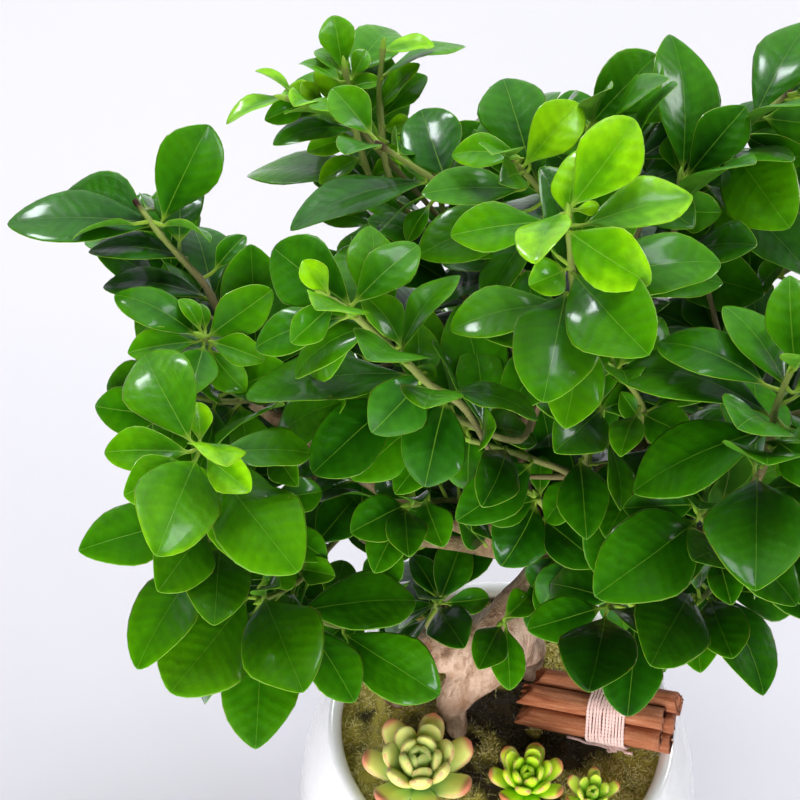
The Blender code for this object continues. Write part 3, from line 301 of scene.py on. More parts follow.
# Tin-white glaze: smooth and wet-looking, with a slow ripple where it ran before it set
glaze, tree, shader = new_material("white_glazed_earthenware", 0.12, coat_weight=0.6, coat_roughness=0.04)
ripple = add_node(tree, "ShaderNodeTexNoise", {"Scale": per_mm(22), "Detail": 2.0})
tone = add_node(tree, "ShaderNodeValToRGB", {"stops": [(place, code) for code, place in GLAZE]}, {0: ripple})
tree.links.new(tone.outputs[0], shader.inputs["Base Color"])
orange_peel = add_node(tree, "ShaderNodeTexNoise", {"Scale": per_mm(3.5), "Detail": 1.0})
heights = add_node(tree, "ShaderNodeMath", {"operation": "MULTIPLY_ADD", 1: 0.12},
                   {0: orange_peel, 2: ripple})
relief = add_node(tree, "ShaderNodeBump", {"Strength": 0.12, "Distance": 1.2 * MM}, {"Height": heights})
tree.links.new(relief.outputs[0], shader.inputs["Normal"])

pot_shell = Shell()
pot_shell.add(*skinned(turned_rings(pot_profile, POT_STEPS)))
pot = pot_shell.make("pot_glazed", [glaze])
place_piece(pot, "pot", "pot")


# Soil: dark peat compost that fills the bowl under the moss. The CAD solid has the right shape and stays.
compost, tree, shader = new_material("peat_compost", 0.95)
crumbs = add_node(tree, "ShaderNodeTexVoronoi", {"Scale": per_mm(2.5)})
tone = add_node(tree, "ShaderNodeValToRGB", {"stops": ((0.1, "#3a2a1c"), (0.6, "#1c140d"))}, {0: crumbs})
relief = add_node(tree, "ShaderNodeBump", {"Strength": 0.9, "Distance": 1.0 * MM}, {"Height": crumbs})
tree.links.new(tone.outputs[0], shader.inputs["Base Color"])
tree.links.new(relief.outputs[0], shader.inputs["Normal"])
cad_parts["soil"].data.materials.clear()
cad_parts["soil"].data.materials.append(compost)


# Moss: a living mat of cushion moss laid over the soil from wall to wall. Short shoots stand in clumps, olive
# and yellow-green, with dark brown patches where it is thin. Towards the middle, under the crown, the moss is
# made thin and near black as painted shade.
INSIDE_HEIGHTS = (22, 48, 80, 110, 134, 146)
SOIL_TOP = 131.0
MOSS_TOP = 137.5
MOSS_BUMP = 2.4
MOSS_BUMP_SPACING = 12.0
MOSS_RINGS = 60
MOSS_STEPS = 150
MOSS_TUFTS = 1300
TUFT_SHOOTS = 14
# A shoot's height, its radius, how far it stands from its tuft's middle and how deep in the mat
SHOOT_HEIGHTS = (2.2, 4.2)
SHOOT_RADII = (0.30, 0.52)
TUFT_SPREAD = 1.2
TUFT_REACH = 0.975
SHOOT_SUNK = 0.4
MOSS_EDGE_GAP = 0.6
MOSS_CLUMP = 7.0
PATCH_SIZE = 21.0
# The moss is thin round the roots and thicker towards the wall, and darker in the middle as painted shade
THICK_AND_LIT_AT_MIDDLE = 0.16
THICKER_AND_LIGHTER_AT_WALL = 1.25
GAP = 0.3


def inside_radius(height):
    """Radius of the bowl's inside at a height, as made: straight between the profile's points."""
    heights = [z for z in INSIDE_HEIGHTS if z > height]
    above = heights[0]
    below = INSIDE_HEIGHTS[INSIDE_HEIGHTS.index(above) - 1]
    share = (height - below) / (above - below)
    return bowl_radius(below, POT_WALL) * (1 - share) + bowl_radius(above, POT_WALL) * share


def moss_height(across, back):
    """Height of the moss at a place: level with soft mounds."""
    spot = Vector((across, back, 3)) / MOSS_BUMP_SPACING
    return MOSS_TOP + MOSS_BUMP * noise.noise(spot) + MOSS_BUMP * 0.5 * noise.noise(spot * 2.3)


def moss_patch_and_shade(across, back):
    """How thick and how lit the moss is at a place, from 0 in the brown patches and the painted shade to 1.
    """
    spot = Vector((across, back, 40)) / PATCH_SIZE
    outward = math.hypot(across, back) / POT_BELLY_RADIUS
    thick = THICK_AND_LIT_AT_MIDDLE + THICKER_AND_LIGHTER_AT_WALL * outward ** 2
    return min(1, max(0, thick + 0.6 * noise.noise(spot) + 0.35 * noise.noise(spot * 3)))


def moss_surface(across, back):
    """Height of the mat with its clumps."""
    spot = Vector((across, back, 9)) / MOSS_CLUMP
    return moss_height(across, back) + 1.5 * noise.noise(spot) + 0.7 * noise.noise(spot * 2.7) - 0.6


moss_edge = inside_radius(MOSS_TOP + MOSS_BUMP) - MOSS_EDGE_GAP
moss_shell = Shell()
rings = []
for i in range(MOSS_RINGS, 0, -1):
    radius = moss_edge * i / MOSS_RINGS
    turns = [math.tau * j / MOSS_STEPS for j in range(MOSS_STEPS)]
    spots = [(radius * math.cos(turn), radius * math.sin(turn)) for turn in turns]
    rings.append([Vector((x, y, moss_surface(x, y))) for x, y in spots])
rings.insert(0, [Vector((point.x, point.y, SOIL_TOP + GAP)) for point in rings[0]])
corners, faces = skinned(rings)
moss_shell.add(corners, faces, 0, look=[(moss_patch_and_shade(point.x, point.y), 0.0, 0.4) for point in corners])

dice = random.Random(3)
for _ in range(MOSS_TUFTS):
    reach = moss_edge * math.sqrt(dice.random()) * TUFT_REACH
    turn = dice.uniform(0, math.tau)
    centre = Vector((reach * math.cos(turn), reach * math.sin(turn)))
    patch_and_shade = moss_patch_and_shade(*centre)
    own_tone = dice.random()
    for _ in range(round(TUFT_SHOOTS * (0.65 + 0.35 * patch_and_shade))):
        side = Vector((dice.gauss(0, TUFT_SPREAD), dice.gauss(0, TUFT_SPREAD)))
        x, y = centre + side
        if math.hypot(x, y) > moss_edge:
            continue
        foot = Vector((x, y, moss_surface(x, y) - SHOOT_SUNK))
        lean = Vector((side.x * 0.5 + dice.uniform(-0.3, 0.3), side.y * 0.5 + dice.uniform(-0.3, 0.3), 1.0))
        lean.normalize()
        tall = dice.uniform(*SHOOT_HEIGHTS) * (0.6 + 0.4 * patch_and_shade)
        thick = dice.uniform(*SHOOT_RADII)
        first = lean.orthogonal().normalized()
        first.rotate(Matrix.Rotation(dice.uniform(0, math.tau), 3, lean))
        bend = (side.to_3d() * 0.4 + first * dice.uniform(0.1, 0.6)) * tall * 0.4
        spokes = [Matrix.Rotation(math.tau * k / 3, 3, lean) @ first * thick for k in range(3)]
        middle = foot + lean * tall * 0.5 + bend * 0.2
        corners = [foot + spoke * 0.7 for spoke in spokes] + [middle + spoke for spoke in spokes]
        corners.append(foot + lean * tall + bend)
        faces = [(0, 1, 4, 3), (1, 2, 5, 4), (2, 0, 3, 5), (3, 4, 6), (4, 5, 6), (5, 3, 6), (2, 1, 0)]
        tone = min(1, max(0, own_tone + dice.uniform(-0.25, 0.25)))
        heights = (0.15, 0.15, 0.15, 0.6, 0.6, 0.6, 1.0)
        moss_shell.add(corners, faces, 0, look=[(patch_and_shade, height, tone) for height in heights])

# Moss is matt and a little furry, dark brown where it is thin, near black as painted shade towards the
# middle, and lightest at the tips of its shoots. Look holds how thick and how lit the moss is, the height on
# the shoot and the tuft's tone.
living_moss, tree, shader = new_material("cushion_moss", 0.85, sheen_weight=0.25, sheen_roughness=0.5)
look = add_node(tree, "ShaderNodeAttribute", {"attribute_name": "look"})
parts = add_node(tree, "ShaderNodeSeparateXYZ", links={0: look.outputs["Vector"]})
fine = add_node(tree, "ShaderNodeTexNoise", {"Scale": per_mm(2.0), "Detail": 4.0})
mixed = add_node(tree, "ShaderNodeMath", {"operation": "MULTIPLY_ADD", 1: 0.75},
                 {0: parts.outputs["Y"], 2: parts.outputs["Z"]})
mixed = add_node(tree, "ShaderNodeMath", {"operation": "MULTIPLY_ADD", 1: 0.5}, {0: mixed, 2: fine})
green = add_node(tree, "ShaderNodeValToRGB",
                 {"stops": ((0.45, "#6b5f27"), (0.62, "#b6ab44"), (0.82, "#dccd64"), (1.0, "#f4e8a0"))},
                 {0: mixed})
# Painted shade: the brown is near black and covers the thin moss towards the middle, under the crown.
brown = add_node(tree, "ShaderNodeValToRGB", {"stops": ((0.45, "#0d0903"), (1.0, "#473a1b"))}, {0: mixed})
thick = add_node(tree, "ShaderNodeMapRange", {"From Min": 0.22, "From Max": 0.5}, {0: parts.outputs["X"]})
colour = add_node(tree, "ShaderNodeMix", {"data_type": "RGBA"}, {"Factor": thick, 6: brown, 7: green})
tree.links.new(colour.outputs[2], shader.inputs["Base Color"])
moss = moss_shell.make("moss_mat", [living_moss])
place_piece(moss, "moss", "moss")


# Wood: fat smooth roots, a short trunk and thin limbs, grown as one piece. The roots are pale pinkish beige
# with fine wrinkles, and the limbs are grey brown and rougher.
PLUG_FOOT = 118.0
# Roots, as points in mm with a radius at each. The last three stand upright in the moss and soil
ROOTS = {
    "front": (((-4, 10, 192), 13), ((-10, 8, 182), 12), ((-19, 5, 171), 10), ((-24, 3, 160), 8),
              ((-22, 2, 149), 5.5), ((-21, 2, 142), 5), ((-21, 2, PLUG_FOOT), 5)),
    "left": (((-6, 13, 193), 14), ((-26, 15, 189), 12.5), ((-40, 18, 177), 10.5), ((-48, 19, 164), 8),
             ((-51, 20, 150), 6.5), ((-51, 20, 143), 6), ((-51, 20, PLUG_FOOT), 6)),
    "right": (((-2, 13, 192), 14), ((4, 21, 180), 12), ((12, 30, 166), 9.5), ((16, 37, 151), 7.5),
              ((16, 37, 142), 7), ((16, 37, PLUG_FOOT), 7)),
    "back": (((-5, 17, 192), 14), ((-14, 34, 178), 11), ((-22, 46, 161), 8.5), ((-24, 50, 150), 7),
             ((-24, 50, 142), 6.5), ((-24, 50, PLUG_FOOT), 6.5)),
}
TRUNK = (((-8, 11, 180), 13), ((-3, 13, 194), 16), ((6, 17, 212), 12.5), ((14, 22, 226), 10.5),
         ((21, 27, 241), 8))


def smooth_path(points, steps):
    """Points along a smooth curve through the given ones, with the given steps in each stretch."""
    ends = [points[0] * 2 - points[1], *points, points[-1] * 2 - points[-2]]
    path = []
    for first, second, third, fourth in zip(ends, ends[1:], ends[2:], ends[3:]):
        for step in range(steps):
            t = step / steps
            path.append(0.5 * (second * 2 + (third - first) * t
                               + (first * 2 - second * 5 + third * 4 - fourth) * t * t
                               + (second * 3 - first - third * 3 + fourth) * t ** 3))
    path.append(points[-1])
    return path


# Limbs from the fork at the top of the trunk, as points in mm with the radius at the start and the end
FORK = Vector((20, 26, 238))
LIMBS = {
    "left": ((-48, 30, 280), (-88, 36, 312), (-112, 42, 330)),
    "left_front": ((-32, 24, 258), (-62, 12, 268)),
    "front": ((-14, 18, 280), (-6, 6, 325)),
    "top": ((2, 34, 300), (14, 36, 360), (20, 34, 392)),
    "right_front": ((18, 20, 262), (55, 4, 285), (78, -14, 312)),
    "right": ((26, 32, 276), (70, 40, 318), (100, 40, 334)),
    "back_right": ((20, 52, 285), (55, 84, 340)),
    "back": ((-4, 60, 290), (4, 96, 338)),
    "back_left": ((-32, 56, 290), (-52, 92, 335)),
}
LIMB_RADIUS = 5.2
LIMB_END_RADIUS = 2.6
LIMB_STEPS = 2
LIMB_SINK = 2.0
WOOD_VOXEL = 0.9
WOOD_SMOOTHING = 8
STOCK_SIDES = 28
STOCK_SMOOTHING = 6
LIMB_SMOOTHING = 3
# Lumps in the wood as (size across, height), which are lower on the limbs
LUMPS = ((15.0, 1.1), (5.5, 0.45), (2.2, 0.16))
SLIM_ABOVE = 222.0
SLIM_LUMPS = 0.35


def limb_paths():
    """Each limb as a list of (point, radius) from the fork to its end."""
    paths = []
    for bends in LIMBS.values():
        bends = [Vector(bend) for bend in bends]
        # Each limb starts in the trunk, on the far side from where it goes
        root = Vector(TRUNK[-2][0]) - (bends[0] - FORK).normalized() * LIMB_SINK
        points = smooth_path([root, FORK, *bends], LIMB_STEPS)
        last = len(points) - 1
        paths.append([(point, LIMB_RADIUS + (LIMB_END_RADIUS - LIMB_RADIUS) * i / last)
                      for i, point in enumerate(points)])
    return paths


def tube_shape(path, radii, sides):
    """Corners and faces of a plain tube, for telling what a leaf or a stem would meet."""
    corners = []
    first = (path[1] - path[0]).orthogonal()
    for i, point in enumerate(path):
        along = (path[min(i + 1, len(path) - 1)] - path[max(i - 1, 0)]).normalized()
        # Each ring takes its turn about the path from the one before, so that the tube has no twist
        first = (first - along * first.dot(along)).normalized()
        for side in range(sides):
            spoke = Matrix.Rotation(math.tau * side / sides, 3, along) @ first
            corners.append(point + spoke * radii[i])
    faces = [tuple(range(sides)), tuple(range(len(corners) - sides, len(corners)))]
    for row in range(len(path) - 1):
        for side in range(sides):
            a = row * sides + side
            b = row * sides + (side + 1) % sides
            faces.append((a, b, b + sides, a + sides))
    return corners, faces


def rounded(stock, steps):
    """Points and radii along a smooth curve through a stock's own points and radii."""
    dense = smooth_path([Vector((*point, radius)) for point, radius in stock], steps)
    return [spot.to_3d() for spot in dense], [spot.w for spot in dense]


limbs = limb_paths()
wood_shell = Shell()
for stock in (TRUNK, *ROOTS.values()):
    wood_shell.add(*tube_shape(*rounded(stock, STOCK_SMOOTHING), STOCK_SIDES))
for limb in limbs:
    wood_shell.add(*tube_shape(*rounded(limb, LIMB_SMOOTHING), STOCK_SIDES))
draft = wood_shell.make("wood_draft", [])
joined = draft.modifiers.new("joined", "REMESH")
joined.mode = "VOXEL"
joined.voxel_size = WOOD_VOXEL * MM
smoothed = draft.modifiers.new("smoothed", "SMOOTH")
smoothed.iterations = WOOD_SMOOTHING
wood_mesh = bpy.data.meshes.new_from_object(draft.evaluated_get(bpy.context.evaluated_depsgraph_get()))
bpy.data.objects.remove(draft)
for corner, normal in zip(wood_mesh.vertices, [Vector(each.vector) for each in wood_mesh.vertex_normals]):
    spot = corner.co / MM
    size = 1 if spot.z < SLIM_ABOVE else SLIM_LUMPS
    swell = sum(deep * noise.noise(spot / wide) for wide, deep in LUMPS)
    corner.co += normal * swell * size * MM
wood_mesh.shade_smooth()

# Ficus bark: thin and matt, with pores in short pale lines, darker blotches at random, brown folds darkened
# as painted shade in their creases, and greyer on the limbs
bark, tree, shader = new_material("ficus_bark", 0.72)
places = add_node(tree, "ShaderNodeTexCoord")
height = add_node(tree, "ShaderNodeSeparateXYZ", links={0: places.outputs["Object"]})
drawn = add_node(tree, "ShaderNodeMapping", {"Scale": (1.0, 1.0, 0.45)}, {0: places.outputs["Object"]})
blotches = add_node(tree, "ShaderNodeTexNoise", {"Scale": per_mm(9), "Detail": 6.0, "Roughness": 0.65},
                    {0: drawn})
root_tone = add_node(tree, "ShaderNodeValToRGB",
                     {"stops": ((0.34, "#6b4f3b"), (0.44, "#a5846c"), (0.56, "#cbae9a"), (0.7, "#b8957c"))},
                     {0: blotches})
limb_tone = add_node(tree, "ShaderNodeValToRGB",
                     {"stops": ((0.36, "#54442f"), (0.5, "#80704f"), (0.66, "#a39474"))}, {0: blotches})
rise = add_node(tree, "ShaderNodeMapRange", {"From Min": 205 * MM, "From Max": 250 * MM},
                {0: height.outputs["Z"]})
colour = add_node(tree, "ShaderNodeMix", {"data_type": "RGBA"}, {"Factor": rise, 6: root_tone, 7: limb_tone})
stretch = add_node(tree, "ShaderNodeMapping", {"Scale": (1.0, 1.0, 3.2)}, {0: places.outputs["Object"]})
pores = add_node(tree, "ShaderNodeTexVoronoi", {"Scale": per_mm(4.0), "Randomness": 1.0}, {0: stretch})
pore_spots = add_node(tree, "ShaderNodeMapRange",
                      {"From Min": 0.10, "From Max": 0.22, "To Min": 1.0, "To Max": 0.0}, {0: pores})
pored = add_node(tree, "ShaderNodeMix", {"data_type": "RGBA", 7: linear("#dccbb8")}, {6: colour.outputs[2]})
faint = add_node(tree, "ShaderNodeMath", {"operation": "MULTIPLY", 1: 0.35}, {0: pore_spots})
tree.links.new(faint.outputs[0], pored.inputs["Factor"])
long = add_node(tree, "ShaderNodeMapping", {"Scale": (1.0, 1.0, 0.14)}, {0: places.outputs["Object"]})
folds = add_node(tree, "ShaderNodeTexNoise", {"Scale": per_mm(3.6), "Detail": 3.0, "Distortion": 0.3},
                 {0: long})
fold_and_shade = add_node(tree, "ShaderNodeMapRange",
                {"interpolation_type": "SMOOTHSTEP", "From Min": 0.54, "From Max": 0.70, "To Max": 0.55},
                {0: folds})
dark_blotches = add_node(tree, "ShaderNodeTexNoise", {"Scale": per_mm(28), "Detail": 3.0},
                  {0: places.outputs["Object"]})
dark_blotch = add_node(tree, "ShaderNodeMapRange",
                 {"interpolation_type": "SMOOTHSTEP", "From Min": 0.44, "From Max": 0.62, "To Max": 0.6},
                 {0: dark_blotches})
blotched = add_node(tree, "ShaderNodeMix", {"data_type": "RGBA", 7: linear("#86644c")},
                   {"Factor": dark_blotch, 6: pored.outputs[2]})
# Painted shade: the folds are darkened where the relief sinks into them.
fold_shaded = add_node(tree, "ShaderNodeMix", {"data_type": "RGBA", 7: linear("#7d5238")},
                  {"Factor": fold_and_shade, 6: blotched.outputs[2]})
wrinkles = add_node(tree, "ShaderNodeTexNoise", {"Scale": per_mm(1.6), "Detail": 4.0}, {0: stretch})
relief_height = add_node(tree, "ShaderNodeMath", {"operation": "ADD"}, {0: wrinkles, 1: faint})
relief_height = add_node(tree, "ShaderNodeMath", {"operation": "SUBTRACT"}, {0: relief_height, 1: fold_and_shade})
relief = add_node(tree, "ShaderNodeBump", {"Strength": 0.7, "Distance": 1.0 * MM}, {"Height": relief_height})
tree.links.new(fold_shaded.outputs[2], shader.inputs["Base Color"])
tree.links.new(relief.outputs[0], shader.inputs["Normal"])
wood_mesh.materials.append(bark)
wood = bpy.data.objects.new("wood", wood_mesh)
bpy.context.scene.collection.objects.link(wood)
place_piece(wood, "bark", "trunk_and_limbs")


# Leafy shoots: thin woody stems, each grown from a limb or a root, with leaves on short stalks. The blades
# are thin, leathery and glossy, yellow-green when young and deep green later, with a pale rib and rim.
# Each leaf is set one by one, where a plainer blade of its size has room among those set before it.
BLADE_THICKNESS = 1.4
TEST_THICKNESS = 2.6
SLIMNESS = 0.60
STALK_ROOT_RADIUS = 0.55
BLADE_BOW = 0.055
BLADE_FOLD = 0.13
LEVEL_RISE = math.radians(4)
GOLDEN_ANGLE = math.radians(137.5)
LEAF_ATTEMPTS = 14
INNER_LEAVES = 1
FULL_SHOOT = 6
TWIG_RADIUS = 1.6
TWIG_FOOT_RADIUS = 0.9
TWIG_TIP_RADIUS = 1.1
AHEAD = Vector((0, math.cos(LOOK_DOWN), -math.sin(LOOK_DOWN)))
UPWARD = Vector((0, math.sin(LOOK_DOWN), math.cos(LOOK_DOWN)))
RIGHT = Vector((1, 0, 0))

# Outline of the crown in the picture, and gaps in it as (across, down, radius). Leaves that were not measured
# stay inside the outline and out of the gaps.
CROWN_EDGE = (
    (30, 215), (100, 195), (160, 190), (165, 140), (212, 130), (215, 175), (200, 215), (248, 235),
    (262, 262), (300, 240), (345, 238), (370, 215), (300, 205), (262, 170), (300, 140), (262, 110),
    (290, 70), (325, 70), (320, 28), (345, 25), (360, 52), (400, 40), (420, 75), (440, 112), (485, 110),
    (500, 80), (545, 92), (590, 90), (650, 50), (690, 40), (712, 85), (745, 110), (770, 60), (800, 30),
    (800, 600), (765, 675), (700, 640), (655, 680), (630, 700), (600, 680), (590, 640), (530, 640),
    (520, 610), (478, 620), (430, 640), (400, 610), (425, 685), (350, 690), (330, 670), (295, 680),
    (262, 735), (240, 700), (175, 685), (140, 655), (150, 610), (200, 560), (100, 545), (130, 500),
    (110, 440), (100, 400), (130, 370), (125, 300), (110, 265), (60, 238),
)
CROWN_GAPS = ((340, 567, 22), (431, 550, 9), (503, 580, 24), (530, 560, 8), (512, 606, 9))

# Leafy stems seen from the front. Each has its stem as (across, down, height in mm) picture points from the
# limb to the tip, then its leaves as (stalk across, down, tip across, down, width) in picture points.
SEEN_SHOOTS = {
    "left_reach": (
        ((212, 298, 372), (185, 262, 384), (165, 240, 390), (138, 205, 398)),
        ((155, 225, 6, 229, 52), (150, 222, 62, 192, 45), (163, 220, 205, 122, 65), (185, 258, 88, 250, 30),
         (205, 298, 103, 282, 28), (213, 300, 195, 222, 60), (215, 270, 245, 235, 24),
         (160, 233, 125, 226, 14))),
    "left_upper": (
        ((262, 372, 345), (203, 337, 374)),
        ((195, 335, 117, 288, 40), (195, 342, 128, 350, 35), (210, 335, 272, 290, 45),
         (200, 330, 180, 298, 18), (205, 330, 200, 303, 14), (212, 342, 265, 360, 30),
         (210, 350, 245, 392, 35), (203, 348, 190, 398, 40))),
    "left_rosette": (
        ((262, 452, 325), (228, 452, 348), (200, 446, 372)),
        ((190, 440, 137, 346, 75), (200, 440, 200, 402, 25), (213, 450, 281, 403, 22),
         (208, 458, 250, 490, 38), (215, 455, 311, 452, 38), (188, 452, 103, 455, 44),
         (195, 462, 150, 553, 80), (225, 480, 287, 563, 85), (190, 465, 122, 492, 50))),
    "left_behind": (
        ((250, 400, 330), (185, 395, 350)),
        ((170, 415, 92, 410, 45), (180, 385, 106, 385, 50), (240, 405, 250, 455, 45))),
    "left_low": (
        ((285, 520, 290), (240, 535, 305), (205, 540, 318)),
        ((190, 520, 80, 548, 60), (205, 530, 155, 588, 60), (220, 550, 210, 623, 65),
         (205, 560, 133, 665, 60), (270, 500, 322, 490, 35), (285, 530, 325, 560, 35))),
    "left_lowest": (
        ((345, 532, 268), (300, 580, 280), (262, 600, 290)),
        ((245, 600, 172, 694, 85), (265, 600, 302, 686, 82), (262, 610, 258, 748, 75),
         (255, 612, 193, 700, 40), (260, 585, 293, 565, 36), (300, 570, 335, 575, 30),
         (315, 545, 357, 495, 45))),
    "low_middle": (
        ((392, 590, 246), (345, 625, 252), (305, 614, 264)),
        ((300, 612, 416, 597, 60), (345, 635, 437, 693, 65), (305, 622, 353, 703, 50),
         (330, 605, 345, 560, 35))),
    "front_tip": (
        ((466, 410, 372), (430, 385, 386), (400, 356, 398), (350, 312, 416), (326, 297, 424)),
        ((328, 292, 303, 260, 28), (333, 305, 290, 340, 35), (350, 305, 270, 250, 70),
         (355, 302, 420, 245, 45), (375, 325, 290, 370, 36), (345, 318, 255, 350, 40),
         (402, 350, 455, 272, 30), (425, 375, 370, 432, 60), (445, 400, 423, 487, 65),
         (415, 368, 437, 378, 14), (400, 345, 365, 290, 40))),
    "front_under": (
        ((520, 440, 345), (470, 425, 350), (420, 395, 358)),
        ((405, 375, 245, 395, 50), (400, 395, 310, 470, 65), (430, 412, 352, 480, 55),
         (455, 435, 395, 492, 40))),
    "front_deep": (
        ((570, 475, 322), (520, 455, 335), (470, 440, 345)),
        ((470, 435, 465, 490, 45), (505, 450, 480, 515, 60), (530, 465, 460, 525, 50),
         (468, 428, 540, 438, 36))),
    "top_rosette": (
        ((580, 345, 392), (572, 275, 425), (568, 214, 455)),
        ((572, 205, 640, 122, 65), (545, 222, 452, 235, 48), (560, 215, 535, 255, 40),
         (575, 210, 600, 207, 15), (585, 225, 693, 195, 50), (570, 232, 645, 288, 60),
         (575, 275, 640, 357, 85), (565, 295, 545, 398, 83), (565, 270, 530, 287, 40),
         (560, 305, 452, 325, 45), (590, 280, 722, 260, 60), (585, 340, 560, 427, 60))),
    "top_front": (
        ((572, 240, 402), (540, 190, 425), (509, 158, 440)),
        ((525, 165, 578, 100, 50), (520, 190, 422, 195, 38), (530, 165, 505, 75, 68),
         (520, 158, 452, 150, 33), (545, 215, 490, 304, 35), (530, 210, 420, 255, 55))),
    "top_left": (
        ((470, 215, 398), (445, 188, 412), (381, 146, 432)),
        ((445, 178, 420, 108, 62), (425, 183, 290, 222, 30), (430, 205, 407, 240, 22),
         (450, 215, 500, 250, 50))),
    "top_right": (
        ((640, 225, 398), (605, 165, 420), (588, 132, 432)),
        ((590, 125, 655, 50, 60), (600, 150, 545, 120, 45), (630, 195, 690, 230, 45))),
    "top_high": (
        ((672, 240, 392), (680, 180, 415)),
        ((682, 168, 680, 30, 65), (688, 175, 745, 105, 50), (678, 172, 668, 135, 25),
         (675, 210, 720, 215, 40))),
    "right_top": (
        ((690, 205, 385), (705, 165, 402), (735, 135, 415), (787, 95, 430)),
        ((755, 118, 815, 15, 60), (730, 148, 790, 226, 75), (705, 185, 810, 275, 50),
         (745, 135, 812, 165, 40), (765, 118, 832, 128, 45))),
    "right_mid": (
        ((757, 480, 372), (770, 440, 388), (775, 410, 402), (790, 372, 416)),
        ((765, 385, 657, 340, 45), (768, 415, 618, 355, 60), (768, 430, 630, 490, 70),
         (757, 480, 757, 590, 95), (785, 385, 727, 303, 40), (795, 365, 785, 275, 50),
         (795, 392, 862, 345, 42), (775, 440, 835, 480, 50))),
    "right_front": (
        ((735, 560, 318), (722, 545, 324), (700, 515, 335)),
        ((695, 522, 605, 595, 85), (695, 505, 625, 505, 45), (705, 505, 650, 440, 45),
         (715, 530, 800, 600, 45))),
    "right_low": (
        ((700, 560, 272), (712, 585, 284), (700, 600, 292)),
        ((690, 595, 645, 660, 75), (710, 600, 728, 657, 55), (715, 592, 768, 692, 50),
         (695, 610, 700, 672, 40))),
    "right_lowest": (
        ((655, 570, 262), (630, 598, 270), (608, 606, 278)),
        ((605, 618, 595, 692, 75), (635, 620, 632, 716, 57), (615, 600, 547, 578, 50),
         (600, 608, 528, 630, 45))),
    "middle": (
        ((600, 500, 305), (585, 460, 330), (600, 420, 350)),
        ((580, 462, 588, 534, 50), (590, 480, 545, 522, 45), (598, 412, 556, 454, 60),
         (600, 410, 640, 395, 40), (608, 440, 620, 510, 25))),
    "middle_up": (
        ((650, 440, 335), (640, 400, 362), (615, 370, 380)),
        ((612, 372, 520, 375, 45), (620, 365, 660, 315, 45), (640, 420, 622, 392, 25),
         (645, 415, 690, 440, 45))),
    "middle_low": (
        ((560, 560, 270), (550, 520, 288), (538, 498, 300)),
        ((535, 505, 505, 568, 60), (545, 520, 595, 560, 50), (540, 495, 540, 455, 24),
         (535, 500, 480, 510, 40))),
    "sprout_left": (
        ((428, 626, 206), (438, 603, 220)),
        ((440, 600, 465, 538, 40), (437, 597, 410, 555, 26), (445, 603, 490, 600, 26),
         (440, 610, 462, 649, 45), (435, 605, 395, 625, 22))),
    "sprout_right": (
        ((516, 614, 222), (503, 622, 226)),
        ((500, 626, 478, 668, 38), (506, 628, 512, 690, 34), (505, 618, 530, 595, 30))),
    "front_low": (
        ((452, 500, 290), (410, 505, 300)),
        ((405, 510, 405, 555, 40), (405, 505, 350, 530, 45), (425, 500, 440, 548, 38),
         (415, 498, 380, 470, 40))),
    "back_tip": (
        ((388, 238, 362), (358, 140, 395), (345, 68, 424)),
        ((343, 72, 335, 15, 35), (341, 74, 318, 46, 22), (352, 78, 367, 50, 20), (340, 82, 300, 62, 18),
         (350, 88, 383, 82, 16), (350, 78, 398, 25, 20), (352, 130, 274, 142, 26), (355, 138, 307, 152, 26),
         (360, 158, 320, 184, 22), (366, 182, 250, 173, 35), (380, 225, 315, 213, 30),
         (370, 180, 398, 160, 24))),
    "back_side": (
        ((358, 128, 398), (325, 108, 408), (285, 98, 416)),
        ((285, 98, 226, 123, 14), (292, 93, 255, 70, 10), (305, 102, 265, 120, 26),
         (325, 105, 300, 84, 18))),
    "back_top": (
        ((402, 205, 375), (380, 110, 405), (383, 48, 434)),
        ((384, 52, 435, 45, 16), (385, 75, 463, 42, 12), (382, 118, 428, 75, 28), (378, 110, 418, 62, 20),
         (382, 130, 412, 122, 20), (385, 150, 425, 150, 30))),
}

# Leafy stems at the back, the right side and under the crown, as (start, tip) in mm, with their leaf count
RULED_SHOOTS = {
    "right_far": ((108, 28, 335), (158, 22, 378), 5),
    "right_far_front": ((104, -18, 322), (150, -52, 352), 5),
    "right_far_low": ((92, 20, 288), (148, 12, 305), 5),
    "right_far_back": ((100, 84, 348), (150, 108, 384), 5),
    "back_right": ((62, 108, 352), (82, 156, 392), 5),
    "back_middle": ((10, 108, 345), (12, 162, 382), 5),
    "back_high": ((30, 60, 370), (44, 104, 410), 5),
    "back_left": ((-70, 100, 308), (-112, 136, 326), 5),
    "left_back": ((-112, 84, 322), (-162, 104, 350), 5),
    "back_low": ((8, 92, 290), (18, 148, 306), 5),
    "back_left_low": ((-52, 76, 284), (-98, 112, 300), 5),
    "back_right_low": ((68, 70, 284), (116, 102, 302), 5),
    "crown_back": ((-20, 84, 350), (-34, 128, 385), 5),
}

# A stem starts at one of the seats along a limb, and is tried from the nearest seats, at several depths
WOOD_SIDES = 12
SEAT_SPACING = 5.0
STEEPEST_SLANT = 0.45
SEATS_TRIED = 24
SEAT_SPARE = 0.2
SEAT_STEP = 0.1
SEAT_STEPS = 150
STEM_SIDES = 6
STEM_ROOM = 1.1
STEM_SINKS = (0, 4, -4, 8, -8, 12, -12, 16, 20)


def sight(across, down):
    """Direction from the eye through a picture point."""
    ray = AHEAD + RIGHT * (across - PICTURE_CENTRE) / FOCAL - UPWARD * (down - PICTURE_CENTRE) / FOCAL
    return ray.normalized()


def seen_at(across, down, height):
    """Point at a height on the sight line of a picture point."""
    ray = sight(across, down)
    return EYE + ray * ((height - EYE.z) / ray.z)


def picture_of(point):
    """Picture place of a point."""
    offset = point - EYE
    depth = offset.dot(AHEAD)
    across = PICTURE_CENTRE + FOCAL * offset.dot(RIGHT) / depth
    return across, PICTURE_CENTRE - FOCAL * offset.dot(UPWARD) / depth


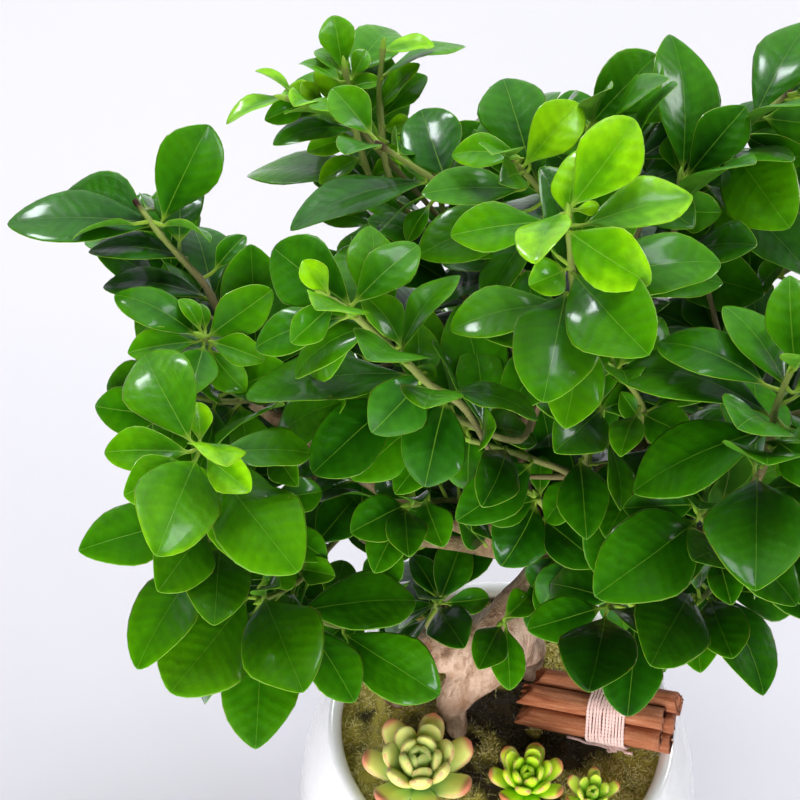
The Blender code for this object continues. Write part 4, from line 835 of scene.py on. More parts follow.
def seats_on(limb, goal, ends_free):
    """Places on a limb where a stem that heads for the goal may start, as (cost, start, heading)."""
    seats = []
    for (start, start_radius), (end, end_radius) in zip(limb, limb[1:]):
        along = (end - start).normalized()
        count = max(2, round((end - start).length / SEAT_SPACING))
        for i in range(count):
            share = (i + 0.5) / count
            middle = start.lerp(end, share)
            radius = start_radius + (end_radius - start_radius) * share
            heading = (goal - middle).normalized()
            slant = heading.cross(along).length
            if slant < STEEPEST_SLANT:
                continue
            clear = (radius + GAP + TWIG_FOOT_RADIUS * abs(heading.dot(along))) / slant
            if (goal - middle).length > clear + 2:
                backward = max(0, -heading.dot(along))
                seats.append(((goal - middle).length * (1 + backward), middle + heading * clear, heading))
    if ends_free:
        tip = limb[-1][0]
        along = (tip - limb[-2][0]).normalized()
        if (goal - tip).normalized().dot(along) > 0.6:
            seats.append(((goal - tip).length * 0.8, tip + along * GAP, along))
    return seats


def shoot_path(points, limbs, stocks, crown):
    """Stem of a leafy shoot through its own points, from the nearest seat that keeps it clear of the rest."""
    for sink in STEM_SINKS:
        sunk = [point + (point - EYE).normalized() * sink for point in points]
        seats = [seat for limb in limbs for seat in seats_on(limb, sunk[0], True)]
        seats += [seat for stock in stocks for seat in seats_on(stock, sunk[0], False)]
        for _, start, heading in sorted(seats, key=lambda seat: seat[0])[:SEATS_TRIED]:
            path = [start, *sunk]
            if not crown.met_by_stem(path):
                stem = settled(path, heading, crown)
                if stem:
                    return stem
    raise ValueError("no seat is clear")


def settled(path, heading, crown):
    """The stem with its foot moved back to a gap from the wood, or none where another stem is in the way."""
    for step in range(SEAT_STEPS):
        reach = [path[0] - heading * (SEAT_STEP + GAP), *path[1:]]
        met = crown.met_by_stem(reach)
        if met:
            return path if "wood" in met else None
        path = [path[0] - heading * SEAT_STEP, *path[1:]]
    return None


def stem_radii(path, spare=0.0):
    """Radius at each point of a stem: a narrow foot on the limb, then a slow taper to the tip."""
    last = len(path) - 1
    taper = TWIG_TIP_RADIUS - TWIG_RADIUS
    return [TWIG_FOOT_RADIUS] + [TWIG_RADIUS + taper * i / last + spare for i in range(1, last + 1)]


def nearest_on(path, goal, measure):
    """Point of a path that measures nearest to the goal."""
    best = None
    for start, end in zip(path, path[1:]):
        for step in range(7):
            point = start.lerp(end, step / 6)
            far = measure(point, goal)
            if best is None or far < best[0]:
                best = (far, point)
    return best[1]


def picture_distance(point, goal):
    across, down = picture_of(point)
    return math.hypot(across - goal[0], down - goal[1])


class Leaf:
    """One leaf: a stalk from its root on the stem, and a blade from its base to its tip."""

    def __init__(self, root, base, tip, normal, width):
        self.root = root
        self.base = base
        self.tip = tip
        self.length = (tip - base).length
        self.axis = (tip - base) / self.length
        self.normal = (normal - self.axis * normal.dot(self.axis)).normalized()
        self.side = self.axis.cross(self.normal)
        self.width = width

    def outline(self, t):
        """Half width of the blade at t along it: a wedge at the base, widest past the middle, a blunt tip."""
        return self.width / 2 * t ** 0.8 * (1 - t) ** 0.62 / 0.378

    def point(self, t, s, lift=0.0):
        """Point of the blade at t along it and s across it, raised from its surface by lift."""
        half = self.outline(t)
        rise = BLADE_BOW * self.length * 4 * t * (1 - t) + BLADE_FOLD * abs(s) * half
        middle = self.base + self.axis * (t * self.length)
        return middle + self.side * (s * half) + self.normal * (rise + lift)


BLADE_ROWS = (0.30, 0.74)


def leaf_shape(leaf, thickness, whole=True):
    """Corners and triangles of a closed leaf: lens-shaped across, with a diamond stalk."""
    lift = thickness / 2
    start = leaf.root if whole else leaf.base
    along = (leaf.point(BLADE_ROWS[0], 0) - start).normalized()
    normal = (leaf.normal - along * leaf.normal.dot(along)).normalized() * STALK_ROOT_RADIUS
    side = along.cross(normal)
    corners = [start + side, start + normal, start - side, start - normal]
    for t in BLADE_ROWS:
        corners += [leaf.point(t, 1), leaf.point(t, 0, lift), leaf.point(t, -1), leaf.point(t, 0, -lift)]
    corners.append(leaf.tip)
    faces = [(0, 1, 2), (0, 2, 3)]
    row_count = len(corners) // 4
    for row in range(row_count - 1):
        a = row * 4
        b = a + 4
        # Both faces of the blade split the same way: from the edge near the base to the rib further on
        faces += [(a, b, b + 1), (a, b + 1, a + 1), (a + 1, b + 1, b + 2), (a + 1, b + 2, a + 2),
                  (a + 2, b + 2, b + 3), (a + 2, b + 3, a + 3), (a + 3, b + 3, b), (a + 3, b, a)]
    a = row_count * 4 - 4
    tip = len(corners) - 1
    faces += [(a, tip, a + 1), (a + 1, tip, a + 2), (a + 2, tip, a + 3), (a + 3, tip, a)]
    return corners, faces


def seen_leaf(path, record, lean=0.0, roll=0.0, sink=0.0, shrink=1.0):
    """Leaf from its picture points. Its blade is as long as it shows, or as its width asks for if longer."""
    base_across, base_down, tip_across, tip_down, span = record
    root = nearest_on(path, (base_across, base_down), picture_distance)
    base_ray = sight(base_across, base_down)
    base = EYE + base_ray * ((root - EYE).dot(base_ray) + sink)
    tip_ray = sight(tip_across, tip_down)
    level_tip = EYE + tip_ray * (base - EYE).dot(tip_ray)
    shown = (level_tip - base).length
    shown_width = span * (base - EYE).dot(AHEAD) / FOCAL
    length = max(shown * 1.02, shown_width / SLIMNESS)
    reach = math.sqrt(max(length ** 2 - shown ** 2, 0))
    tips = [level_tip + tip_ray * reach, level_tip - tip_ray * reach]
    tip = min(tips, key=lambda end: abs(math.asin((end - base).z / (end - base).length) - LEVEL_RISE))
    tip = tip + tip_ray * lean
    tip = base + (tip - base) * shrink
    axis = (tip - base).normalized()
    width = max(shown_width, (tip - base).length * SLIMNESS * 0.9) * shrink
    facing = -base_ray
    facing = (facing - axis * facing.dot(axis)).normalized()
    turn = math.acos(min(1, shown_width * shrink / width))
    normals = [Matrix.Rotation(side * turn + roll, 3, axis) @ facing for side in (1, -1)]
    normal = max(normals, key=lambda way: way.z)
    return Leaf(root, base, tip, normal, width)


def ruled_leaf(path, place, turn, length, rise, roll):
    """Leaf at a share of the way along a stem, turned round it, for stems that follow the rule."""
    spot = place * (len(path) - 1)
    i = min(int(spot), len(path) - 2)
    root = path[i].lerp(path[i + 1], spot - i)
    along = (path[i + 1] - path[i]).normalized()
    level = along.cross(Vector((0, 0, 1))).normalized()
    out = Matrix.Rotation(turn, 3, along) @ level
    axis = (out + along * 0.55 + Vector((0, 0, rise))).normalized()
    base = root + axis * 7
    up = Matrix.Rotation(roll, 3, axis) @ (Vector((0, 0, 1)) - axis * axis.z)
    return Leaf(root, base, base + axis * length, up, length * SLIMNESS)


class Crown:
    """Keeps what is already placed, so that a new leaf can be set clear of it."""

    def __init__(self):
        self.placed = []
        self.shown = []

    def add(self, owner, corners, faces):
        middle = sum(corners, Vector()) / len(corners)
        radius = max((corner - middle).length for corner in corners)
        self.placed.append((owner, middle, radius, BVHTree.FromPolygons(corners, faces)))

    def show(self, leaf):
        """Notes the points of a leaf that the picture shows, which no later leaf may cover."""
        for t, s in ((0.12, 0), (0.35, -0.7), (0.35, 0.7), (0.5, 0), (0.7, -0.6), (0.7, 0.6), (0.9, 0)):
            point = leaf.point(t, s)
            self.shown.append((point, picture_of(point)))

    def met_by_stem(self, path):
        """Owners of what a stem along a path meets."""
        stem = BVHTree.FromPolygons(*tube_shape(path, stem_radii(path, SEAT_SPARE), STEM_SIDES))
        return {owner for owner, _, _, tree in self.placed if stem.overlap(tree)}

    def clear(self, owner, leaf):
        """Whether a leaf, a little thicker than it is, meets nothing placed so far."""
        whole = leaf_shape(leaf, TEST_THICKNESS)
        blade = leaf_shape(leaf, TEST_THICKNESS, whole=False)
        middle = (leaf.root + leaf.tip) / 2
        radius = (leaf.tip - leaf.root).length / 2 + leaf.width / 3
        trees = {}
        for other, centre, reach, tree in self.placed:
            if (centre - middle).length > radius + reach:
                continue
            kind = other == owner
            if kind not in trees:
                trees[kind] = BVHTree.FromPolygons(*(blade if kind else whole))
            if trees[kind].overlap(tree):
                return False
        return True

    def behind(self, leaf):
        """Whether a leaf stays inside the crown's outline and covers no leaf that the picture shows."""
        marks = [picture_of(leaf.point(t, s))
                 for t, s in ((0.02, 0), (0.3, -1), (0.3, 1), (0.5, 0), (0.75, -1), (0.75, 1), (1, 0))]
        for mark in marks:
            if not in_crown(*mark):
                return False
        middle = marks[3]
        reach = max(math.dist(middle, mark) for mark in marks) + 4
        tree = None
        for point, place in self.shown:
            if math.dist(place, middle) > reach:
                continue
            if tree is None:
                tree = BVHTree.FromPolygons(*leaf_shape(leaf, BLADE_THICKNESS, whole=False))
            ray = point - EYE
            if tree.ray_cast(EYE, ray.normalized(), ray.length - 1)[0] is not None:
                return False
        return True


def in_crown(across, down):
    """Whether a picture point may hold a leaf that was not measured."""
    if not (0 < across < PICTURE_SIZE and 0 < down < PICTURE_SIZE):
        return True
    for middle_across, middle_down, radius in CROWN_GAPS:
        if math.hypot(across - middle_across, down - middle_down) < radius:
            return False
    inside = False
    for (x0, y0), (x1, y1) in zip(CROWN_EDGE, CROWN_EDGE[1:] + CROWN_EDGE[:1]):
        if (y0 > down) != (y1 > down) and across < x0 + (x1 - x0) * (down - y0) / (y1 - y0):
            inside = not inside
    return inside


# What is tried in turn to set a measured leaf clear: shrunk, moved along the sight line, rolled, tipped
TRIES = tuple((lean, roll, sink, shrink)
              for shrink in (1.0, 0.9, 0.8)
              for sink in (0.0, 5.0, -5.0, 10.0, -10.0, 16.0)
              for roll in (0.0, 0.3, -0.3, 0.6)
              for lean in (0.0, 8.0, -8.0, 16.0, -16.0, 26.0))


def grow_stems(crown):
    """Limbs and the stem path of every shoot, set into the crown as what leaves must clear."""
    limbs = limb_paths()
    stocks = [[(Vector(point), radius) for point, radius in stock[:4]] for stock in (TRUNK, *ROOTS.values())]
    for stock in limbs + stocks:
        # The flats of the sides, and not only their corners, hold the round stock
        radii = [radius / math.cos(math.pi / WOOD_SIDES) for _, radius in stock]
        crown.add("wood", *tube_shape([point for point, _ in stock], radii, WOOD_SIDES))
    paths = {}
    for name, (stem, _) in SEEN_SHOOTS.items():
        paths[name] = shoot_path([seen_at(*spot) for spot in stem], limbs, stocks, crown)
        crown.add(name, *tube_shape(paths[name], [TWIG_RADIUS + STEM_ROOM] * len(paths[name]), STEM_SIDES))
    for name, (start, tip, _) in RULED_SHOOTS.items():
        start, tip = Vector(start), Vector(tip)
        bend = start.lerp(tip, 0.5) - Vector((0, 0, 4))
        paths[name] = shoot_path([start, bend, tip], limbs, stocks, crown)
        crown.add(name, *tube_shape(paths[name], [TWIG_RADIUS + STEM_ROOM] * len(paths[name]), STEM_SIDES))
    return limbs, paths


def grow_seen_leaves(crown, paths, leaves):
    """The leaves that were measured, each in the first of the tries that is clear of the rest."""
    for name, (_, records) in SEEN_SHOOTS.items():
        for record in records:
            for lean, roll, sink, shrink in TRIES:
                leaf = seen_leaf(paths[name], record, lean, roll, sink, shrink)
                if crown.clear(name, leaf):
                    leaves[name].append(leaf)
                    crown.add(name, *leaf_shape(leaf, BLADE_THICKNESS))
                    crown.show(leaf)
                    break


def grow_ruled_leaves(crown, paths, leaves, name, count, share, dice):
    """Leaves by rule along a stem: each one golden angle further round, where there is room for it."""
    turn = dice.uniform(0, math.tau)
    for number in range(count):
        place = 1 - share * number / max(count - 1, 1)
        length = dice.uniform(44, 54) * (0.62 if number == 0 else 1)
        for attempt in range(LEAF_ATTEMPTS):
            leaf = ruled_leaf(paths[name], place, turn + attempt * 0.4, length * (1 - 0.02 * attempt),
                              dice.uniform(0.05, 0.45), dice.uniform(-0.3, 0.3))
            if crown.behind(leaf) and crown.clear(name, leaf):
                leaves[name].append(leaf)
                crown.add(name, *leaf_shape(leaf, BLADE_THICKNESS))
                break
        turn += GOLDEN_ANGLE


# How young the leaves at each stem's tip are, from 0, old and dark, to 1. The rest take YOUNG_ELSEWHERE
YOUNG_TIPS = {
    "left_reach": 0.28, "left_upper": 0.42, "left_rosette": 0.92, "left_behind": 0.4, "left_low": 0.5,
    "left_lowest": 0.34, "low_middle": 0.22, "front_tip": 0.85, "front_under": 0.4, "front_deep": 0.25,
    "top_rosette": 0.95, "top_front": 0.55, "top_left": 0.35, "top_right": 0.5, "top_high": 0.3,
    "right_top": 0.45, "right_mid": 0.35, "right_front": 0.2, "right_low": 0.15, "right_lowest": 0.12,
    "middle": 0.3, "middle_up": 0.4, "middle_low": 0.08, "sprout_left": 0.12, "sprout_right": 0.25,
    "front_low": 0.12, "back_tip": 0.9, "back_side": 0.9, "back_top": 0.95,
}
YOUNG_ELSEWHERE = 0.3
# Age of single leaves, by the place of the blade's middle in the picture. Each is set to how bright the leaf
# shows, so it holds painted shade on leaves deep in the crown and painted light on leaves lit from behind
SEEN_AGES_AND_SHADE = {
    (165, 388): 0.48, (172, 507): 0.66, (256, 522): 0.62, (146, 450): 0.66, (228, 470): 0.8,
    (264, 454): 0.5, (247, 426): 0.55, (200, 421): 0.75, (156, 478): 0.6, (552, 132): 1.0, (606, 164): 0.92,
    (639, 210): 0.72, (608, 260): 0.66, (498, 228): 0.55, (548, 235): 0.9, (488, 295): 0.3,
    (607, 316): 0.38, (556, 346): 0.36, (656, 270): 0.42, (572, 383): 0.45, (388, 273): 0.5,
    (375, 40): 0.85, (433, 58): 0.66, (350, 105): 0.5, (345, 82): 0.75, (365, 60): 0.7, (312, 278): 0.9,
    (312, 322): 0.45, (310, 277): 0.3, (332, 347): 0.42, (300, 334): 0.3, (428, 311): 0.5, (398, 404): 0.12,
    (434, 444): 0.08, (350, 440): 0.06, (331, 44): 0.5, (330, 60): 0.6, (360, 64): 0.62, (320, 72): 0.6,
    (366, 85): 0.7, (374, 52): 0.55, (314, 136): 0.3, (776, 385): 0.5, (790, 320): 0.42, (745, 240): 0.4,
    (765, 190): 0.45, (188, 170): 0.22, (480, 300): 0.5, (515, 182): 0.35, (205, 650): 0.58,
    (275, 700): 0.36, (155, 630): 0.42, (395, 662): 0.4, (288, 640): 0.42, (213, 588): 0.34,
    (340, 665): 0.32, (365, 600): 0.2, (110, 530): 0.4, (240, 210): 0.2, (75, 205): 0.15, (105, 190): 0.2,
    (690, 90): 0.3, (270, 172): 0.2, (285, 105): 0.3, (575, 415): 0.4, (410, 60): 0.6, (424, 58): 0.6,
    (403, 97): 0.5, (398, 90): 0.55, (785, 66): 0.4,
}
AGE_REACH = 14
CUT_STEMS = ("left_reach", "top_left", "top_front", "right_top")
MORE_LEAVES = 5
ROOT_SPACING = 7.0
FILL_ARM = 31.0
FILL_STALK = 6.0
FILL_ROOTS = 22
FILL_LENGTHS = (46, 40, 34, 28, 23)
FRONT_SPACING = 8.0
MOST_FRONT = 200
MOST_ROUND = 220
VIEW_SPREAD = 16.0
# Directions from which gaps are closed after the front, as (turn, rise)
ROUND_VIEWS = [(math.radians(turn), math.radians(rise)) for turn, rise in
               ((60, 10), (120, 10), (180, 10), (240, 10), (300, 10), (0, 5), (180, 45), (0, 89))]
LEAF_SIDES = 18
STALK_ROWS = 3
BLADE_ROW_COUNT = 14
STALK_RADIUS = 0.75
SKIN = 0.24
WIDENED = 1.05
EDGE_WAVE = 0.045
LONG_LEAF = 34
SHORT_LEAF = 14
STEM_ROUND = 10
STEM_SMOOTHING = 5
BUD_LENGTH = 5.5


def part_done(value, low, high):
    """Share of the way from low to high, kept between 0 and 1."""
    return min(1, max(0, (value - low) / (high - low)))


def leaf_rows(leaf, dice):
    """Rings of a leaf from the root of its stalk to its tip, with the blade marks of each ring's points."""
    length = leaf.length
    # Each leaf has an outline, arch, roll, droop, waves, twist and sideways bend of its own
    widest = dice.uniform(1.02, 1.34)
    peak = 0.5 ** (1 / widest)
    to_base, to_tip = dice.uniform(0.80, 0.95), dice.uniform(0.58, 0.76)
    small = part_done(length, LONG_LEAF, SHORT_LEAF)
    crown_of_half = dice.uniform(0.26, 0.38) + 0.25 * small
    roll_down = dice.uniform(0.10, 0.30) * (1 - small)
    extra_bow = dice.uniform(-0.02, 0.035)
    droop = dice.uniform(0.0, 0.09) + (0.08 if dice.random() < 0.2 else 0)
    wave, phase = dice.uniform(0.04, 0.11), dice.uniform(0, math.tau)
    twist = dice.uniform(-0.14, 0.14)
    sway = dice.uniform(-0.06, 0.06) * length
    turns = [math.tau * i / LEAF_SIDES for i in range(LEAF_SIDES)]
    rows, marks = [], []
    reach = (leaf.base - leaf.root).length
    bend = leaf.base - leaf.axis * reach * 0.45
    for i in range(STALK_ROWS):
        t = i / STALK_ROWS
        middle = leaf.root * (1 - t) ** 2 + bend * 2 * t * (1 - t) + leaf.base * t * t
        along = ((bend - leaf.root) * (1 - t) + (leaf.base - bend) * t).normalized()
        up = (leaf.normal - along * leaf.normal.dot(along)).normalized()
        side = along.cross(up)
        thick = STALK_RADIUS * (1.25 - 0.25 * t)
        rows.append([middle - side * thick * math.cos(turn) + up * thick * math.sin(turn) for turn in turns])
        marks.append([(-(1 - t) * max(reach, 1), 0, 9)] * LEAF_SIDES)
    for i in range(BLADE_ROW_COUNT):
        t = (1 - math.cos(math.pi * i / BLADE_ROW_COUNT)) / 2
        fullness = to_base if t < peak else to_tip
        plain = leaf.width * WIDENED / 2 * math.sin(math.pi * t ** widest) ** fullness
        half = math.hypot(plain, STALK_RADIUS * (1 - t) ** 3)
        deep = SKIN + (STALK_RADIUS - SKIN) * (1 - t) ** 6
        bow = (BLADE_BOW + extra_bow) * length * 4 * t * (1 - t) - droop * length * t ** 3
        row, row_marks = [], []
        for turn in turns:
            s = -math.cos(turn)
            far = abs(s)
            rise = crown_of_half * far - roll_down * far * far + twist * s * t
            rise += wave * far * far * math.sin(math.tau * (1.3 * t + 0.15 * s) + phase)
            lift = deep * math.sin(turn)
            out = s * half * (1 + EDGE_WAVE * math.sin(math.tau * 1.7 * t + phase + 2 * s))
            row.append(leaf.base + leaf.axis * t * length + leaf.side * (out + sway * t * t)
                       + leaf.normal * (bow + rise * plain + lift))
            row_marks.append((t * length, s * half, (1 - far) * half))
        rows.append(row)
        marks.append(row_marks)
    end = leaf.base + leaf.axis * length + leaf.side * sway - leaf.normal * droop * length
    return rows, marks, end


def add_leaf(shell, leaf, youth, dice):
    """Adds one leaf with its stalk. The upper skin and the underside take different materials."""
    rows, marks, end = leaf_rows(leaf, dice)
    corners, faces = skinned(rows, last_cap=False)
    skins = [0 if i % LEAF_SIDES < LEAF_SIDES // 2 else 1 for i in range(len(faces) - 1)] + [1]
    last = len(corners) - LEAF_SIDES
    corners.append(end)
    for i in range(LEAF_SIDES):
        faces.append((last + i, last + (i + 1) % LEAF_SIDES, len(corners) - 1))
        skins.append(0 if i < LEAF_SIDES // 2 else 1)
    blade = [mark for row in marks for mark in row] + [(leaf.length, 0, 0)]
    look = [(youth, dice.random(), leaf.length)] * len(corners)
    shell.add(corners, faces, skins, blade=blade, look=look)


def share_along(path, spot):
    """How far along a path its nearest point to a spot is, from 0 to 1."""
    lengths = [0]
    for start, end in zip(path, path[1:]):
        lengths.append(lengths[-1] + (end - start).length)
    nearest = min(range(len(path)), key=lambda i: (path[i] - spot).length)
    return lengths[nearest] / lengths[-1]


def add_stem(shell, path, leaves, cut, tip_youth):
    """Adds a shoot's stem, a little thicker where a leaf joins it, with a pointed bud or a cut end.

    A young shoot is green for more of its length.
    """
    points, radii = rounded(list(zip(path, stem_radii(path))), STEM_SMOOTHING)
    heading = (points[-1] - points[-2]).normalized()
    bare = len(points)
    if cut:
        points += [points[-1] + heading * reach for reach in (1.2, 2.4, 3.0)]
        radii += [1.25, 1.3, 0.7]
    else:
        points += [points[-1] + heading * BUD_LENGTH * share for share in (0.12, 0.35, 0.6, 0.85, 1.0)]
        radii += [1.15, 1.3, 1.05, 0.5, 0.08]
    for i, point in enumerate(points[:bare]):
        near = max([math.exp(-((point - leaf.root).length / 1.6) ** 2) for leaf in leaves], default=0)
        radii[i] += 0.35 * near + 0.10 * noise.noise(point / 3)
    corners, faces = tube_shape(points, radii, STEM_ROUND)
    faces[0] = tuple(reversed(faces[0]))
    look = []
    for i in range(len(points)):
        grown = min(1, i / (bare - 1)) ** (1.4 - tip_youth)
        look += [(grown, 1.0 if cut and i >= bare - 1 else 0.0, 0.0 if cut or i < bare else 1.0)] * STEM_ROUND
    shell.add(corners, faces, 2, look=look)


crown = Crown()
limbs, stem_paths = grow_stems(crown)
shoot_leaves = {name: [] for name in stem_paths}
grow_seen_leaves(crown, stem_paths, shoot_leaves)
dice = random.Random(11)
for name, (_, _, count) in RULED_SHOOTS.items():
    grow_ruled_leaves(crown, stem_paths, shoot_leaves, name, count, 0.62, dice)
for name in SEEN_SHOOTS:
    if len(shoot_leaves[name]) < FULL_SHOOT:
        grow_ruled_leaves(crown, stem_paths, shoot_leaves, name, INNER_LEAVES, 0.8, dice)
# Further leaves fill the inside of the crown where there is room for them, and keep out of more gaps
CROWN_GAPS += ((665, 140, 15), (703, 186, 9), (740, 290, 20), (765, 308, 14), (745, 343, 9), (481, 162, 5))
dice = random.Random(29)
for name in stem_paths:
    grow_ruled_leaves(crown, stem_paths, shoot_leaves, name, MORE_LEAVES, 0.9, dice)


def root_spots(stem_paths, limbs):
    """Places that a further leaf may grow from, as (owner, place, radius of the wood there)."""
    spots = []
    for name, path in stem_paths.items():
        for start, end in zip(path, path[1:]):
            count = max(1, round((end - start).length / ROOT_SPACING))
            spots += [(name, start.lerp(end, (i + 0.6) / count), TWIG_TIP_RADIUS) for i in range(count)]
    for limb in limbs:
        for (start, radius), (end, _) in zip(limb[2:], limb[3:]):
            count = max(1, round((end - start).length / ROOT_SPACING))
            spots += [("wood", start.lerp(end, (i + 0.5) / count), radius) for i in range(count)]
    return spots


def cover(crown, spots, start, ray, dice):
    """Sets one leaf across a sight line from one of the places near it, where there is room for the leaf."""
    near = []
    for owner, spot, radius in spots:
        along = (spot - start).dot(ray)
        away = (start + ray * along - spot).length
        if away < FILL_ARM:
            near.append((abs(away - 0.7 * FILL_ARM), owner, spot, radius, along, away))
    near.sort(key=lambda each: each[0])
    for _, owner, spot, radius, along, away in near[:FILL_ROOTS]:
        for length in FILL_LENGTHS:
            arm = radius + FILL_STALK + length / 2
            if away > arm:
                continue
            for way in (-1, 1):
                middle = start + ray * (along + way * math.sqrt(arm ** 2 - away ** 2))
                axis = (middle - spot).normalized()
                stray = Vector((dice.uniform(-1, 1), dice.uniform(-1, 1), dice.uniform(-1, 1)))
                normal = Vector((0, 0, 1)) - ray * 0.8 + stray * 0.35
                base = spot + axis * (radius + FILL_STALK)
                leaf = Leaf(spot + axis * radius * 0.5, base, base + axis * length, normal, length * SLIMNESS)
                if leaf.normal.dot(ray) < -0.3 and crown.behind(leaf) and crown.clear(owner, leaf):
                    crown.add(owner, *leaf_shape(leaf, BLADE_THICKNESS))
                    return owner, leaf
    return None


def blades(shoot_leaves):
    """All leaves as one shape that sight lines can meet."""
    corners, faces = [], []
    for leaves in shoot_leaves.values():
        for leaf in leaves:
            start = len(corners)
            shape, sides = leaf_shape(leaf, BLADE_THICKNESS)
            corners += shape
            faces += [tuple(start + i for i in side) for side in sides]
    return BVHTree.FromPolygons(corners, faces)


def fill_gaps(crown, spots, shoot_leaves, lines, most, dice):
    """Covers the sight lines that meet no leaf, with at most so many further leaves."""
    tree = blades(shoot_leaves)
    added = 0
    for start, ray in lines:
        if added == most:
            break
        if tree.ray_cast(start, ray)[0] is None:
            found = cover(crown, spots, start, ray, dice)
            if found:
                shoot_leaves[found[0]].append(found[1])
                tree = blades(shoot_leaves)
                added += 1


# From the front, then from all round and from above, leaves cover the gaps that show through the crown
shoot_leaves["wood"] = []
spots = root_spots(stem_paths, limbs)
lines = []
for row in range(int(PICTURE_SIZE / FRONT_SPACING)):
    for column in range(int(PICTURE_SIZE / FRONT_SPACING)):
        across = (column + 0.5 * (row % 2) + 0.5) * FRONT_SPACING
        down = (row + 0.5) * FRONT_SPACING
        if in_crown(across, down):
            lines.append((EYE, sight(across, down)))
dice = random.Random(31)
dice.shuffle(lines)
fill_gaps(crown, spots, shoot_leaves, lines, MOST_FRONT, dice)
lines = []
for turn, rise in ROUND_VIEWS:
    ray = Vector((math.cos(rise) * math.sin(turn), -math.cos(rise) * math.cos(turn), -math.sin(rise)))
    for _, spot, _ in spots:
        stray = Vector((dice.uniform(-1, 1), dice.uniform(-1, 1), dice.uniform(-1, 1))) * VIEW_SPREAD
        lines.append((spot + stray - ray * 600, ray))
dice.shuffle(lines)
fill_gaps(crown, spots, shoot_leaves, lines, MOST_ROUND, dice)
